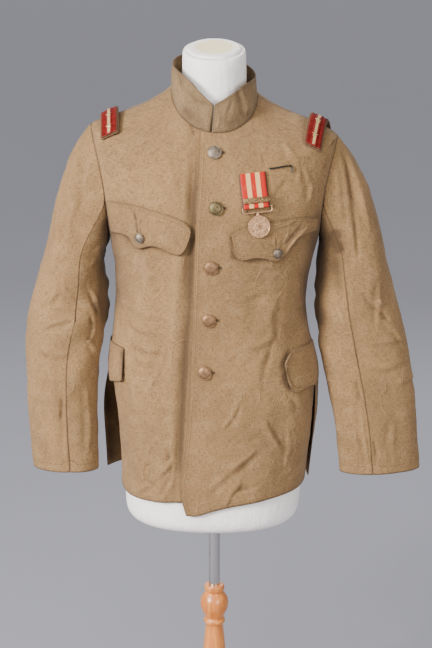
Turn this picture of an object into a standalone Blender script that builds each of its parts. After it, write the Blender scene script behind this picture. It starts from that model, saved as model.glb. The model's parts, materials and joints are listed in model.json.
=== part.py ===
"""An officer's summer jacket with a stand collar, worn by a limbless dress form on a turned stand.

Metres, +Z up. The front of the jacket faces -Y, and the wearer's left is +X. The origin is the
middle of the underside of the round base, where the stand rests on the floor.

The cloth is made from one surface: rings around the body, given by short tables of real sizes.
Each panel is a flat slab of cloth, laid on that surface between its own seams.
"""

import bisect
import functools
import math

import bmesh
import bpy
import numpy as np
from mathutils import Matrix, Vector

# Cloth and seams
CLOTH = 0.0018            # thickness of a cloth wall
SEAM = 0.0004             # gap between two panels at a seam
SLEEVE_SEAM = 0.0007      # and between the two parts of a sleeve
LAP_GAP = 0.0006          # gap under cloth that lies on other cloth
ARMHOLE_SPREAD = math.radians(22.0)
SLEEVE_START = 0.0006     # gap between the armhole's edge and the sleeve
SEAM_TWIST = -0.022       # below the arms the side seams are turned this far round the body

# Heights above the floor
FLOOR_TO_MIDDLE = 0.800   # the tables below count heights from here
ARMPIT = 0.147
TIP = 0.319
NECK_SEAM = 0.3725

# Body rings, from the hem to the neck seam. A ring has a half-width on the wearer's right and
# left, a depth in front and behind, a slope of its front and back half, a lean to one side and
# a roundness, which is 2 for an ellipse.
RING_COLUMNS = ("height", "right", "left", "front", "back", "front_slope", "back_slope", "lean", "round")
RINGS = (
    (-0.300, 0.156, 0.150, 0.113, 0.117, 0.00, 0.00, 0.000, 2.30),
    (-0.250, 0.157, 0.153, 0.114, 0.117, 0.00, 0.00, 0.000, 2.30),
    (-0.200, 0.159, 0.161, 0.115, 0.118, 0.00, 0.00, 0.000, 2.30),
    (-0.120, 0.164, 0.168, 0.116, 0.118, 0.00, 0.00, 0.000, 2.30),
    (-0.070, 0.171, 0.169, 0.115, 0.115, 0.00, 0.00, 0.000, 2.30),
    (-0.030, 0.168, 0.160, 0.113, 0.109, 0.00, 0.00, 0.000, 2.30),
    (0.010, 0.163, 0.151, 0.111, 0.104, 0.00, 0.00, 0.000, 2.30),
    (0.056, 0.159, 0.147, 0.111, 0.102, 0.00, 0.00, 0.000, 2.30),
    (0.100, 0.160, 0.155, 0.114, 0.105, 0.00, 0.00, 0.000, 2.30),
    (0.147, 0.167, 0.167, 0.117, 0.110, 0.00, 0.00, 0.000, 2.30),
    (0.200, 0.178, 0.178, 0.1165, 0.1145, 0.06, -0.03, -0.010, 2.30),
    (0.265, 0.188, 0.188, 0.1080, 0.1140, 0.24, -0.16, -0.030, 2.28),
    (0.319, 0.1935, 0.1935, 0.0945, 0.1080, 0.40, -0.30, -0.044, 2.22),
    (0.328, 0.174, 0.174, 0.0915, 0.1040, 0.44, -0.29, -0.036, 2.20),
    (0.341, 0.141, 0.141, 0.0872, 0.0950, 0.52, -0.22, -0.030, 2.16),
    (0.349, 0.1165, 0.1165, 0.0846, 0.0870, 0.58, -0.10, -0.034, 2.12),
    (0.361, 0.089, 0.089, 0.0795, 0.0750, 0.66, 0.10, -0.050, 2.08),
    (0.3725, 0.067, 0.067, 0.0745, 0.0640, 0.74, 0.33, -0.085, 2.05),
)

SLOPE_TURN = 0.025        # how softly a ring's slope turns from the front's to the back's

# The edge of the front that laps over, from the hem up: height and distance from the middle
LAP_EDGE = (
    (-0.300, -0.060), (-0.260, -0.0565), (-0.180, -0.046), (-0.080, -0.038),
    (0.040, -0.033), (0.180, -0.0275), (0.300, -0.0225), (0.330, -0.0215),
)
UNDER_REACH = 0.030       # how far the front that laps under reaches past the middle
CORNER_RADIUS = 0.014

# The hem: distance round the body from the middle of the front, and height
HEM_LEFT = (
    (-0.060, -0.2895), (-0.045, -0.2910), (-0.030, -0.2885), (0.000, -0.2800), (0.035, -0.2725),
    (0.070, -0.2680), (0.110, -0.2635), (0.150, -0.2600), (0.200, -0.2550), (0.260, -0.2520),
)
HEM_RIGHT = (
    (-0.260, -0.2520), (-0.200, -0.2610), (-0.147, -0.2720), (-0.103, -0.2715), (-0.060, -0.2685),
    (0.060, -0.2670),
)
HEM_BACK = -0.2520

# Side vents: below this height the back stands off from the fronts, by this much at the hem
VENT_TOP = -0.045
VENT_WIDTH = 0.055
VENT_FLARE_RIGHT = 0.026
VENT_FLARE_LEFT = 0.006

# Grids of the panels
BELOW_ARM_ROWS = 12
ARM_ROWS = 10
SHOULDER_ROWS = 5
FRONT_COLUMNS = 14
BACK_COLUMNS = 20

# Folds of the body: where each starts and ends (across, height), its half-width and how far it
# stands out. Across is the distance round the body from the middle of the front.
FOLD_COLUMNS = ("across_1", "height_1", "across_2", "height_2", "width", "rise")
FOLDS = (
    (-0.085, -0.262, -0.075, -0.185, 0.016, 0.0072),
    (-0.098, -0.262, -0.100, -0.200, 0.014, -0.0046),
    (-0.105, -0.215, -0.120, -0.120, 0.016, -0.0034),
    (-0.125, -0.225, -0.110, -0.060, 0.014, 0.0048),
    (-0.070, -0.150, -0.075, 0.060, 0.014, -0.0029),
    (-0.120, 0.020, -0.105, 0.110, 0.014, 0.0048),
    (-0.150, -0.010, -0.165, 0.080, 0.018, -0.0052),
    (-0.095, 0.060, -0.070, 0.150, 0.013, -0.0029),
    (-0.140, 0.180, -0.110, 0.270, 0.018, -0.0034),
    (0.015, -0.262, 0.060, -0.215, 0.015, -0.0034),
    (0.060, -0.262, 0.100, -0.190, 0.016, 0.0056),
    (0.095, -0.180, 0.115, -0.120, 0.013, -0.0034),
    (0.140, -0.235, 0.135, -0.080, 0.020, 0.0056),
    (0.130, -0.015, 0.165, 0.060, 0.017, -0.0052),
    (0.080, 0.035, 0.125, 0.095, 0.015, 0.0048),
    (0.035, 0.020, 0.075, 0.045, 0.012, -0.0025),
    (0.120, 0.190, 0.105, 0.275, 0.018, -0.0034),
    (0.210, -0.245, 0.215, -0.080, 0.018, -0.0057),
    (-0.215, -0.245, -0.220, -0.090, 0.018, -0.0063),
    (0.250, -0.245, 0.250, -0.050, 0.020, 0.0080),
    (0.320, -0.245, 0.330, -0.070, 0.022, -0.0052),
    (-0.330, -0.245, -0.335, -0.080, 0.020, -0.0052),
    (0.385, -0.245, 0.380, -0.030, 0.024, 0.0080),
    (-0.395, -0.245, -0.385, -0.040, 0.022, 0.0080),
    (0.300, 0.010, 0.420, 0.045, 0.016, -0.0040),
    (-0.290, 0.030, -0.410, 0.000, 0.016, -0.0040),
    (0.330, 0.160, 0.370, 0.270, 0.020, -0.0040),
    (-0.330, 0.160, -0.365, 0.270, 0.020, -0.0040),
    (0.300, 0.075, 0.380, 0.120, 0.018, 0.0048),
    (-0.300, 0.085, -0.370, 0.125, 0.018, 0.0048),
)

# Sleeve rings from the upper arm to the cuff: height, middle across, middle front to back,
# half-width, half-depth and how far the ring is turned towards the front
SLEEVE_COLUMNS = ("height", "across", "along", "half_width", "half_depth", "turn")
SLEEVE_LEFT = (
    (0.105, 0.2215, 0.003, 0.0585, 0.0600, 0.00),
    (0.050, 0.2280, -0.002, 0.0670, 0.0560, 0.05),
    (0.007, 0.2355, -0.008, 0.0715, 0.0510, 0.10),
    (-0.049, 0.2460, -0.015, 0.0745, 0.0440, 0.15),
    (-0.117, 0.2590, -0.022, 0.0725, 0.0390, 0.18),
    (-0.180, 0.2670, -0.028, 0.0695, 0.0360, 0.20),
    (-0.2360, 0.2725, -0.031, 0.0695, 0.0340, 0.20),
)
SLEEVE_RIGHT = (
    (0.105, 0.2270, 0.003, 0.0510, 0.0600, 0.00),
    (0.050, 0.2325, -0.002, 0.0635, 0.0560, 0.05),
    (0.010, 0.2387, -0.008, 0.0673, 0.0520, 0.10),
    (-0.060, 0.2475, -0.016, 0.0600, 0.0460, 0.15),
    (-0.140, 0.2480, -0.024, 0.0585, 0.0400, 0.18),
    (-0.190, 0.2460, -0.029, 0.0575, 0.0370, 0.20),
    (-0.2320, 0.2440, -0.032, 0.0560, 0.0350, 0.20),
)
SLEEVE_RINGS_BELOW = 12
CAP_ROWS = 7
FRONT_SLEEVE_SEAM = 6     # steps of the sleeve's ring from its top to the front seam
BACK_SLEEVE_SEAM = 14     # and to the back seam

# Folds of a sleeve: angle round it from its top (positive to the front) and height at both
# ends, half-width in metres and rise
SLEEVE_FOLD_COLUMNS = ("turn_1", "height_1", "turn_2", "height_2", "width", "rise")
FOLDS_LEFT = (
    (60, 0.250, 95, 0.110, 0.016, -0.0056),
    (25, 0.240, 55, 0.080, 0.016, 0.0053),
    (150, 0.090, 90, 0.030, 0.013, -0.0077),
    (155, 0.050, 85, -0.015, 0.013, 0.0075),
    (160, 0.020, 100, -0.050, 0.012, -0.0077),
    (150, -0.030, 95, -0.100, 0.012, 0.0053),
    (80, -0.080, 75, -0.225, 0.013, -0.0056),
    (45, 0.050, 75, 0.010, 0.012, -0.0042),
    (-60, 0.230, -95, 0.100, 0.018, -0.0056),
    (-90, 0.060, -130, -0.020, 0.016, 0.0067),
    (-70, 0.010, -110, -0.100, 0.015, -0.0049),
    (-100, -0.120, -80, -0.235, 0.016, 0.0053),
)
FOLDS_RIGHT = (
    (65, 0.250, 100, 0.120, 0.016, -0.0056),
    (25, 0.230, 50, 0.080, 0.016, 0.0045),
    (160, 0.085, 100, 0.045, 0.013, -0.0077),
    (160, 0.045, 90, 0.000, 0.013, 0.0083),
    (160, 0.010, 100, -0.030, 0.012, -0.0070),
    (150, -0.040, 110, -0.090, 0.012, 0.0053),
    (75, -0.125, 78, -0.165, 0.012, -0.0056),
    (110, -0.130, 105, -0.230, 0.013, -0.0049),
    (-60, 0.230, -95, 0.100, 0.018, -0.0056),
    (-90, 0.060, -130, -0.020, 0.016, 0.0067),
    (-75, -0.010, -110, -0.110, 0.015, -0.0049),
    (-95, -0.120, -85, -0.230, 0.016, 0.0053),
)

# Collar: its top ring, and the opening at the front
COLLAR_TOP_HALF_WIDTH = 0.0660
COLLAR_TOP_FRONT = 0.0700
COLLAR_TOP_BACK = 0.0650
COLLAR_TOP_LEAN = -0.150
# The collar's top edge: degrees from the middle of the front, and height
COLLAR_TOP_EDGE = ((0, 0.3605), (16, 0.3740), (40, 0.3925), (60, 0.4010), (85, 0.4070), (120, 0.4190),
                   (150, 0.4265), (180, 0.4290))
COLLAR_COLUMNS = 26
COLLAR_ROWS = 3
COLLAR_GAP_LOW = 0.0012   # half the gap between the collar's ends at the neck seam
COLLAR_GAP_HIGH = 0.0006  # and at the top
COLLAR_GAP_MIDDLE = -0.0045

# Breast flaps: distance round the body, height of the sewn edge and of the free edge
BREAST_FLAP_RIGHT = (
    (-0.1830, 0.2135, 0.1620), (-0.1640, 0.2155, 0.1638), (-0.1480, 0.2165, 0.1640),
    (-0.1350, 0.2164, 0.1620), (-0.1310, 0.2162, 0.1540), (-0.1265, 0.2159, 0.1455),
    (-0.1190, 0.2152, 0.1430), (-0.1110, 0.2143, 0.1450), (-0.0935, 0.2106, 0.1515),
    (-0.0757, 0.2058, 0.1441), (-0.0620, 0.2013, 0.1372), (-0.0520, 0.1967, 0.1365),
    (-0.0450, 0.1920, 0.1430), (-0.0400, 0.1868, 0.1540), (-0.0360, 0.1802, 0.1735),
)
BREAST_FLAP_LEFT = (
    (0.0245, 0.1722, 0.1650), (0.0275, 0.1740, 0.1450), (0.0315, 0.1763, 0.1350),
    (0.0370, 0.1792, 0.1300), (0.0440, 0.1827, 0.1290), (0.0540, 0.1864, 0.1309),
    (0.0643, 0.1885, 0.1330), (0.0782, 0.1903, 0.1307), (0.0900, 0.1918, 0.1252),
    (0.0970, 0.1928, 0.1242), (0.1040, 0.1938, 0.1268), (0.1108, 0.1946, 0.1330),
    (0.1169, 0.1952, 0.1425), (0.1298, 0.1960, 0.1586), (0.1480, 0.1948, 0.1650),
    (0.1640, 0.1905, 0.1662), (0.1800, 0.1870, 0.1660),
)
HIP_FLAP_RIGHT = (
    (-0.2520, -0.0260, -0.0730), (-0.2470, -0.0235, -0.0780), (-0.2350, -0.0230, -0.0790),
    (-0.2200, -0.0225, -0.0810), (-0.2050, -0.0220, -0.0870),
    (-0.1850, -0.0215, -0.0820), (-0.1700, -0.0215, -0.0780), (-0.1600, -0.0225, -0.0770),
    (-0.1545, -0.0240, -0.0730),
)
HIP_FLAP_LEFT = (
    (0.1125, -0.0420, -0.0500), (0.1150, -0.0360, -0.0620), (0.1185, -0.0310, -0.0730),
    (0.1240, -0.0265, -0.0840), (0.1320, -0.0230, -0.0905), (0.1450, -0.0215, -0.0890),
    (0.1600, -0.0210, -0.0850), (0.1750, -0.0210, -0.0880), (0.1900, -0.0215, -0.0870),
    (0.2020, -0.0220, -0.0800), (0.2090, -0.0230, -0.0740),
)
FLAP_ROWS = 4
FLAP_GAP = 0.0008
FLAP_LIFT = 0.0030        # the free edge of a flap stands off by this much

# Buttons: distance round the body and height on the cloth
FRONT_BUTTONS = ((0.0002, 0.3288), (0.0022, 0.2201), (-0.0042, 0.1168), (-0.0086, 0.0332), (-0.0149, -0.0502))
FRONT_BUTTON_RADIUS = 0.0108
POCKET_BUTTON_RIGHT = (-0.1152, 0.1607)
POCKET_BUTTON_LEFT = (0.0970, 0.1381)
POCKET_BUTTON_RADIUS = 0.0081
BUTTON_SIDES = 16
TOUCH = 0.0003            # gap between pieces that touch

# A button's turned outline: radius as a share of its own, and height above the cloth in metres
BUTTON_OUTLINE = (
    (0.00, 0.0000), (0.22, 0.0000), (0.26, 0.0013), (0.90, 0.0014), (1.00, 0.0021), (0.96, 0.0030),
    (0.74, 0.0041), (0.45, 0.0049), (0.00, 0.0053),
)

# Shoulder boards: across at the shoulder and at the front end, where the ends are, and the gap
# under it. A stiff board bridges the shoulder, so its middle is higher by its bow.
BOARD_RIGHT = {"across_ridge": -0.1635, "across_front": -0.1600, "front_end": -0.053, "back_end": 0.046,
               "gap": 0.0015, "bow": 0.0060}
BOARD_LEFT = {"across_ridge": 0.1650, "across_front": 0.1500, "front_end": -0.061, "back_end": 0.038,
              "gap": 0.0009, "bow": 0.0090}
BOARD_LAYERS = (
    ("backing", 0.0150, 0.0012, 0.0000), ("felt", 0.0130, 0.0013, 0.0015), ("lace", 0.0046, 0.0008, 0.0030),
)
BOARD_TOP = 0.0038         # the lace's upper face, above the backing's underside
BOARD_SLOPE = 0.45
BOARD_INSET = 0.0015
BOARD_ROWS = 9
STAR_RADIUS = 0.0052
STAR_INNER = 0.0023
STAR_HEIGHT = 0.0012
STAR_PLACES = (0.16, 0.40)  # shares of the board's length from its front end to the ridge

# The medal: a ribbon, a clasp on it, and a bar with a disc that swings in the ribbon's fold
BAR_ACROSS = 0.0640
BAR_HEIGHT = 0.2330
BAR_RADIUS = 0.0012
RIBBON_HALF_WIDTH = 0.0185
RIBBON_LENGTH = 0.0465
RIBBON_THICK = 0.0008
RIBBON_LEAN = math.radians(5.0)
RIBBON_STANDS_OFF = 0.0034
RIBBON_FOLD_BACK = 0.007
CLASP_HALF_WIDTH = 0.0165
CLASP_HALF_HEIGHT = 0.0030
CLASP_THICK = 0.0014
CLASP_ABOVE_BAR = 0.0085
LOOP_HALF_WIDTH = 0.0210
LOOP_DROP = 0.0085
STEM_DROP = 0.0050
MEDAL_TILT = math.radians(6.0)  # the disc rests on the flap below it
DISC_RADIUS = 0.0160
DISC_THICK = 0.0030
DISC_RIM = 0.0013
DISC_SIDES = 28
PIN_PATH = ((0.0840, 0.2990), (0.0950, 0.3000), (0.1070, 0.3012), (0.1175, 0.3020), (0.1200, 0.2990), (0.1206, 0.2885))
PIN_RADIUS = 0.0013

# The dress form, which is the body surface a little inside the cloth
FORM_SIDES = 28
FORM_CLEAR = (
    (-0.300, 0.0045), (-0.240, 0.0055), (-0.050, 0.0090), (0.050, 0.0085), (0.150, 0.0080),
    (0.265, 0.0050), (0.310, 0.0030), (0.325, 0.0035), (0.340, 0.0070), (0.360, 0.0110),
)
FORM_HEIGHTS = (
    -0.296, -0.240, -0.180, -0.120, -0.060, 0.000, 0.060, 0.110, 0.150, 0.190, 0.225, 0.255, 0.280, 0.300,
    0.314, 0.322, 0.332, 0.343, 0.352,
)
FORM_BOTTOM = ((-0.3120, 0.985), (-0.3230, 0.930), (-0.3300, 0.820), (-0.3330, 0.600))
NECK_RADIUS = 0.0505
NECK_BASE = 0.3720
NECK_TOP = 0.4385
NECK_TILT = 0.30
NECK_MIDDLE_Y = 0.000
CAP_RADIUS = 0.0420
CAP_THICK = 0.0040

# The stand
POLE_RADIUS = 0.0095
POLE_TOP = -0.275
POLE_BOTTOM = -0.645
BORE_CLEAR = 0.0003
SOCKET_TOP = -0.272
BORE_BOTTOM = -0.745
STAND_SIDES = 20
BASE_RADIUS = 0.160
BASE_HEIGHT = 0.026
BASE_SIDES = 32
# The turned post, from its foot up: height and radius
POST_OUTLINE = (
    (-0.7737, 0.0300), (-0.7660, 0.0300), (-0.7600, 0.0250), (-0.7450, 0.0235), (-0.7000, 0.0225),
    (-0.6500, 0.0220), (-0.6000, 0.0205), (-0.5700, 0.0185), (-0.5450, 0.0162), (-0.5310, 0.0150),
    (-0.5270, 0.0180), (-0.5220, 0.0180), (-0.5190, 0.0155), (-0.5120, 0.0180), (-0.5020, 0.0225),
    (-0.4920, 0.0240), (-0.4830, 0.0225), (-0.4760, 0.0185), (-0.4730, 0.0160), (-0.4690, 0.0155),
    (-0.4670, 0.0170), (-0.4600, 0.0170), (-0.4580, 0.0155),
)
# The turned base: radius as a share of its own, and height as a share of its own
BASE_OUTLINE = (
    (0.0, 0.0), (0.96, 0.0), (1.0, 0.10), (1.0, 0.38), (0.965, 0.52), (0.93, 0.56), (0.90, 0.72),
    (0.84, 0.82), (0.40, 0.93), (0.23, 1.0), (0.0, 1.0),
)


def column_reader(names, rows, smooth=True):
    """Return a function that reads one column of a table at any height, smoothly."""
    keys = [row[0] for row in rows]
    columns = {name: [row[i] for row in rows] for i, name in enumerate(names)}

    def slope(values, i):
        if i == 0 or i == len(keys) - 1:
            near = min(max(i, 1), len(keys) - 1)
            return (values[near] - values[near - 1]) / (keys[near] - keys[near - 1])
        before = (values[i] - values[i - 1]) / (keys[i] - keys[i - 1])
        after = (values[i + 1] - values[i]) / (keys[i + 1] - keys[i])
        if before * after <= 0:
            return 0.0
        return 2 * before * after / (before + after)

    def read(name, key):
        values = columns[name]
        i = min(max(bisect.bisect_right(keys, key) - 1, 0), len(keys) - 2)
        span = keys[i + 1] - keys[i]
        t = min(max((key - keys[i]) / span, 0.0), 1.0)
        if not smooth:
            return values[i] + t * (values[i + 1] - values[i])
        start, end = slope(values, i) * span, slope(values, i + 1) * span
        return ((2 * t**3 - 3 * t**2 + 1) * values[i] + (t**3 - 2 * t**2 + t) * start
                + (3 * t**2 - 2 * t**3) * values[i + 1] + (t**3 - t**2) * end)

    return read


read_ring = column_reader(RING_COLUMNS, RINGS)


@functools.lru_cache(maxsize=None)
def ring_value(name, height):
    return read_ring(name, height)


lap_edge_at = column_reader(("height", "across"), LAP_EDGE)
hem_left_at = column_reader(("across", "height"), HEM_LEFT)
hem_right_at = column_reader(("across", "height"), HEM_RIGHT)


def ease(t):
    """A soft step from 0 to 1."""
    t = min(max(t, 0.0), 1.0)
    return t * t * (3 - 2 * t)


def signed_power(value, exponent):
    return math.copysign(abs(value) ** exponent, value)


def ring_z(x, y, height):
    """The real height of a ring's point: its slope turns smoothly from the front's to the back's."""
    front, back = ring_value("front_slope", height), ring_value("back_slope", height)
    turn = y / math.hypot(y, SLOPE_TURN)
    slope = 0.5 * (front + back) + 0.5 * (back - front) * turn
    return FLOOR_TO_MIDDLE + height + slope * y + ring_value("lean", height) * x


def bare_ring_point(angle, height):
    """A point of the unfolded body surface. Angle 0 is the wearer's left side, -90 degrees the
    middle of the front and 180 degrees the right side."""
    power = 2 / ring_value("round", height)
    across = signed_power(math.cos(angle), power)
    along = signed_power(math.sin(angle), power)
    x = across * ring_value("left" if across > 0 else "right", height)
    y = along * ring_value("back" if along > 0 else "front", height)
    return Vector((x, y, ring_z(x, y, height)))


def surface_normal(place, a, b, step_a, step_b):
    """The normal of a surface place(a, b), from points on either side."""
    along_a = place(a + step_a, b) - place(a - step_a, b)
    along_b = place(a, b + step_b) - place(a, b - step_b)
    return along_a.cross(along_b).normalized()


ARC_STEPS = 180


@functools.lru_cache(maxsize=None)
def arc_table(height):
    """Angles round a ring, from one middle of the back to the other, and the distance of each
    from the middle of the front."""
    angles = np.linspace(-1.5 * math.pi, 0.5 * math.pi, ARC_STEPS + 1)
    points = np.array([bare_ring_point(a, height) for a in angles])
    steps = np.linalg.norm(np.diff(points, axis=0), axis=1)
    along = np.concatenate([[0.0], np.cumsum(steps)])
    front = np.interp(-0.5 * math.pi, angles, along)
    return angles, along - front


def angle_of(across, height):
    """The ring angle at a distance round the body; positive distances go to the wearer's left."""
    angles, along = arc_table(round(height, 3))
    return float(np.interp(across, along, angles))


def across_of(angle, height):
    angles, along = arc_table(round(height, 3))
    return float(np.interp(angle, angles, along))


def fold_rise(folds, across, height):
    """How far the folds of a table lift the cloth at a place."""
    rise = 0.0
    for across_1, height_1, across_2, height_2, width, lift in folds:
        run_a, run_h = across_2 - across_1, height_2 - height_1
        length = math.hypot(run_a, run_h)
        t = ((across - across_1) * run_a + (height - height_1) * run_h) / length**2
        off = ((across - across_1) * run_h - (height - height_1) * run_a) / length
        if abs(off) > 3 * width or t < -0.4 or t > 1.4:
            continue
        ends = ease((t + 0.3) / 0.5) * ease((1.3 - t) / 0.5)
        rise += lift * math.exp(-((off / width) ** 2) * 1.4) * ends
    return rise


def body_rise(angle, height):
    across = across_of(angle, height)
    half = across_of(0.5 * math.pi, height)
    rise = fold_rise(FOLDS, across, height)
    if across > half - 0.08:
        rise += fold_rise(FOLDS, across - 2 * half, height)
    calm = ease((TIP + 0.005 - height) / 0.06)
    calm *= max(ease((lap_edge_at("across", height) - 0.006 - across) / 0.02), ease((across - 0.036) / 0.02))
    calm *= ease(abs(across - half) / 0.02) if across > half - 0.02 else 1.0
    return rise * calm


def body_point(angle, height):
    """A point of the body surface with its folds."""
    bare = bare_ring_point(angle, height)
    rise = body_rise(angle, height)
    if abs(rise) < 1e-7:
        return bare
    return bare + rise * surface_normal(bare_ring_point, angle, height, 0.004, 0.001)


def bare_normal(angle, height):
    return surface_normal(bare_ring_point, angle, height, 0.006, 0.0015)


def body_normal(angle, height):
    return surface_normal(body_point, angle, height, 0.006, 0.0015)


def make_material(name, colour, roughness, metallic=0.0):
    material = bpy.data.materials.new(name)
    material.use_nodes = True
    shader = material.node_tree.nodes["Principled BSDF"]
    shader.inputs["Base Color"].default_value = (*colour, 1.0)
    shader.inputs["Roughness"].default_value = roughness
    shader.inputs["Metallic"].default_value = metallic
    material.diffuse_color = (*colour, 1.0)
    return material


def add_object(name, bm, material, smooth_angle=40.0):
    """Turn a bmesh into a named object, with its round parts smooth."""
    mesh = bpy.data.meshes.new(name)
    bm.to_mesh(mesh)
    bm.free()
    mesh.shade_smooth()
    mesh.set_sharp_from_angle(angle=math.radians(smooth_angle))
    mesh.materials.append(material)
    obj = bpy.data.objects.new(name, mesh)
    bpy.context.scene.collection.objects.link(obj)
    return obj


def cloth_slab(columns, rows, place, thickness, doubled=False):
    """A slab of cloth: a flat grid with thickness, whose points are then laid on a surface.

    place(u, v) gives a surface point and its outward normal, for u and v from 0 to 1. With
    doubled, the cloth lies outside the surface and not inside it.
    """
    bm = bmesh.new()
    bmesh.ops.create_grid(bm, x_segments=columns, y_segments=rows, size=0.5)
    made = bmesh.ops.extrude_face_region(bm, geom=list(bm.faces), use_keep_orig=True)
    inner = [v for v in made["geom"] if isinstance(v, bmesh.types.BMVert)]
    bmesh.ops.translate(bm, verts=inner, vec=(0.0, 0.0, -1.0))
    bmesh.ops.recalc_face_normals(bm, faces=bm.faces)
    for vert in bm.verts:
        u, v, depth = vert.co.x + 0.5, vert.co.y + 0.5, -vert.co.z
        point, normal = place(u, v)
        vert.co = point + normal * (thickness * ((1 - depth) if doubled else -depth))
    if bm.calc_volume(signed=True) < 0:
        bmesh.ops.reverse_faces(bm, faces=bm.faces)
    return bm


def row_height(v, hem):
    """The ring height of a panel's row, for v from 0 at the hem to 1 at the neck seam.

    The rows below the arm are even, those beside the armhole are spaced like the points of the
    sleeve's first ring, and the last ones cross the shoulder.
    """
    total = BELOW_ARM_ROWS + ARM_ROWS + SHOULDER_ROWS
    row = v * total
    if row <= BELOW_ARM_ROWS:
        t = row / BELOW_ARM_ROWS
        return hem + t * (ARMPIT - hem)
    if row <= BELOW_ARM_ROWS + ARM_ROWS:
        t = (row - BELOW_ARM_ROWS) / ARM_ROWS
        return ARMPIT + (TIP - ARMPIT) * 0.5 * (1 - math.cos(math.pi * t))
    t = (row - BELOW_ARM_ROWS - ARM_ROWS) / SHOULDER_ROWS
    return TIP + (NECK_SEAM - TIP) * t


def armhole_angle(height):
    """How far the armhole's edge is from the side, as a ring angle."""
    if height <= ARMPIT or height >= TIP:
        return 0.0
    t = (2 * height - ARMPIT - TIP) / (TIP - ARMPIT)
    return ARMHOLE_SPREAD * math.sqrt(max(1 - t * t, 0.0))


def seam_angle(height):
    """Half the seam gap, as a ring angle near the side or the shoulder seam."""
    depth = 0.5 * (ring_value("front", height) + ring_value("back", height))
    return 0.5 * SEAM / depth


def seam_twist(height):
    return SEAM_TWIST * ease((ARMPIT - height) / 0.12)


def left_seam(height):
    """Where the left front ends, as a distance round the body."""
    return across_of(-armhole_angle(height) - seam_angle(height), height) + seam_twist(height)


def right_seam(height):
    """Where the right front ends."""
    return across_of(-math.pi + armhole_angle(height) + seam_angle(height), height) + seam_twist(height)


TOTAL_ROWS = BELOW_ARM_ROWS + ARM_ROWS + SHOULDER_ROWS


def front_left_place(u, v):
    """The front that laps over: u runs from its edge to the side seam."""
    rough = row_height(v, HEM_LEFT[2][1])
    side = left_seam(rough)
    edge = lap_edge_at("across", rough)
    low = row_height(v, hem_left_at("height", edge + u * (side - edge)))
    edge = lap_edge_at("across", low)
    above_hem = low - hem_left_at("height", edge)
    if above_hem < CORNER_RADIUS:
        drop = 1 - above_hem / CORNER_RADIUS
        edge += CORNER_RADIUS * (1 - math.sqrt(max(1 - drop * drop, 0.0)))
    side = left_seam(low)
    angle = angle_of(edge + u * (side - edge), low)
    return body_point(angle, low), body_normal(angle, low)


def front_right_place(u, v):
    """The front that laps under: u runs from the side seam to its hidden edge."""
    rough = row_height(v, HEM_RIGHT[2][1])
    side = right_seam(rough)
    across = side + u * (UNDER_REACH - side)
    low = row_height(v, hem_right_at("height", across))
    side = right_seam(low)
    across = side + u * (UNDER_REACH - side)
    angle = angle_of(across, low)
    point, normal = body_point(angle, low), body_normal(angle, low)
    under = ease((across - lap_edge_at("across", low) + 0.024) / 0.018)
    return point - normal * (under * (CLOTH + LAP_GAP)), normal


def back_place(u, v):
    """The back: u runs from the left side seam to the right one."""
    height = row_height(v, HEM_BACK)
    start = armhole_angle(height) + seam_angle(height)
    along = arc_table(round(height, 3))[1]
    whole = along[-1] - along[0]
    low = across_of(start, height) + seam_twist(height)
    high = across_of(-math.pi - start, height) + whole + seam_twist(height)
    across = low + u * (high - low)
    from_right = high - across
    from_left = across - low
    if across > along[-1]:
        across -= whole
    angle = angle_of(across, height)
    point, normal = body_point(angle, height), body_normal(angle, height)
    open_vent = ease((VENT_TOP - height) / 0.10)
    flare = VENT_FLARE_RIGHT * ease(1 - from_right / VENT_WIDTH) + VENT_FLARE_LEFT * ease(1 - from_left / VENT_WIDTH)
    return point + bare_normal(angle, height) * (flare * open_vent), normal


def make_panels(cloth):
    add_object("front_left", cloth_slab(FRONT_COLUMNS, TOTAL_ROWS, front_left_place, CLOTH), cloth)
    add_object("front_right", cloth_slab(FRONT_COLUMNS, TOTAL_ROWS, front_right_place, CLOTH), cloth)
    add_object("back", cloth_slab(BACK_COLUMNS, TOTAL_ROWS, back_place, CLOTH), cloth)


collar_top_at = column_reader(("degrees", "height"), COLLAR_TOP_EDGE)


def collar_place(u, v):
    """The collar: u runs from its left end, round the back, to its right end, and v goes up."""
    start, end = -0.5 * math.pi, 1.5 * math.pi
    gap = COLLAR_GAP_LOW + v * (COLLAR_GAP_HIGH - COLLAR_GAP_LOW)
    from_left = (gap + COLLAR_GAP_MIDDLE * (1 - v)) / COLLAR_TOP_HALF_WIDTH
    from_right = (gap - COLLAR_GAP_MIDDLE * (1 - v)) / COLLAR_TOP_HALF_WIDTH
    angle = start + from_left + u * (end - start - from_left - from_right)

    def at(a, level):
        low = bare_ring_point(a, NECK_SEAM)
        low += Vector((math.cos(a), math.sin(a), 0.0)) * 0.0006 + Vector((0.0, 0.0, 0.0008))
        x = COLLAR_TOP_HALF_WIDTH * math.cos(a)
        y = (COLLAR_TOP_BACK if math.sin(a) > 0 else COLLAR_TOP_FRONT) * math.sin(a)
        from_front = abs(math.degrees(a) + 90.0)
        from_front = min(from_front, 360.0 - from_front)
        z = FLOOR_TO_MIDDLE + collar_top_at("height", from_front) + COLLAR_TOP_LEAN * x
        bulge = 0.0012 * math.sin(math.pi * min(max(level, 0.0), 1.0))
        point = low.lerp(Vector((x, y, z)), level)
        return point + Vector((math.cos(a), math.sin(a), 0.0)) * bulge

    return at(angle, v), surface_normal(at, angle, v, 0.02, 0.05)


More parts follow.
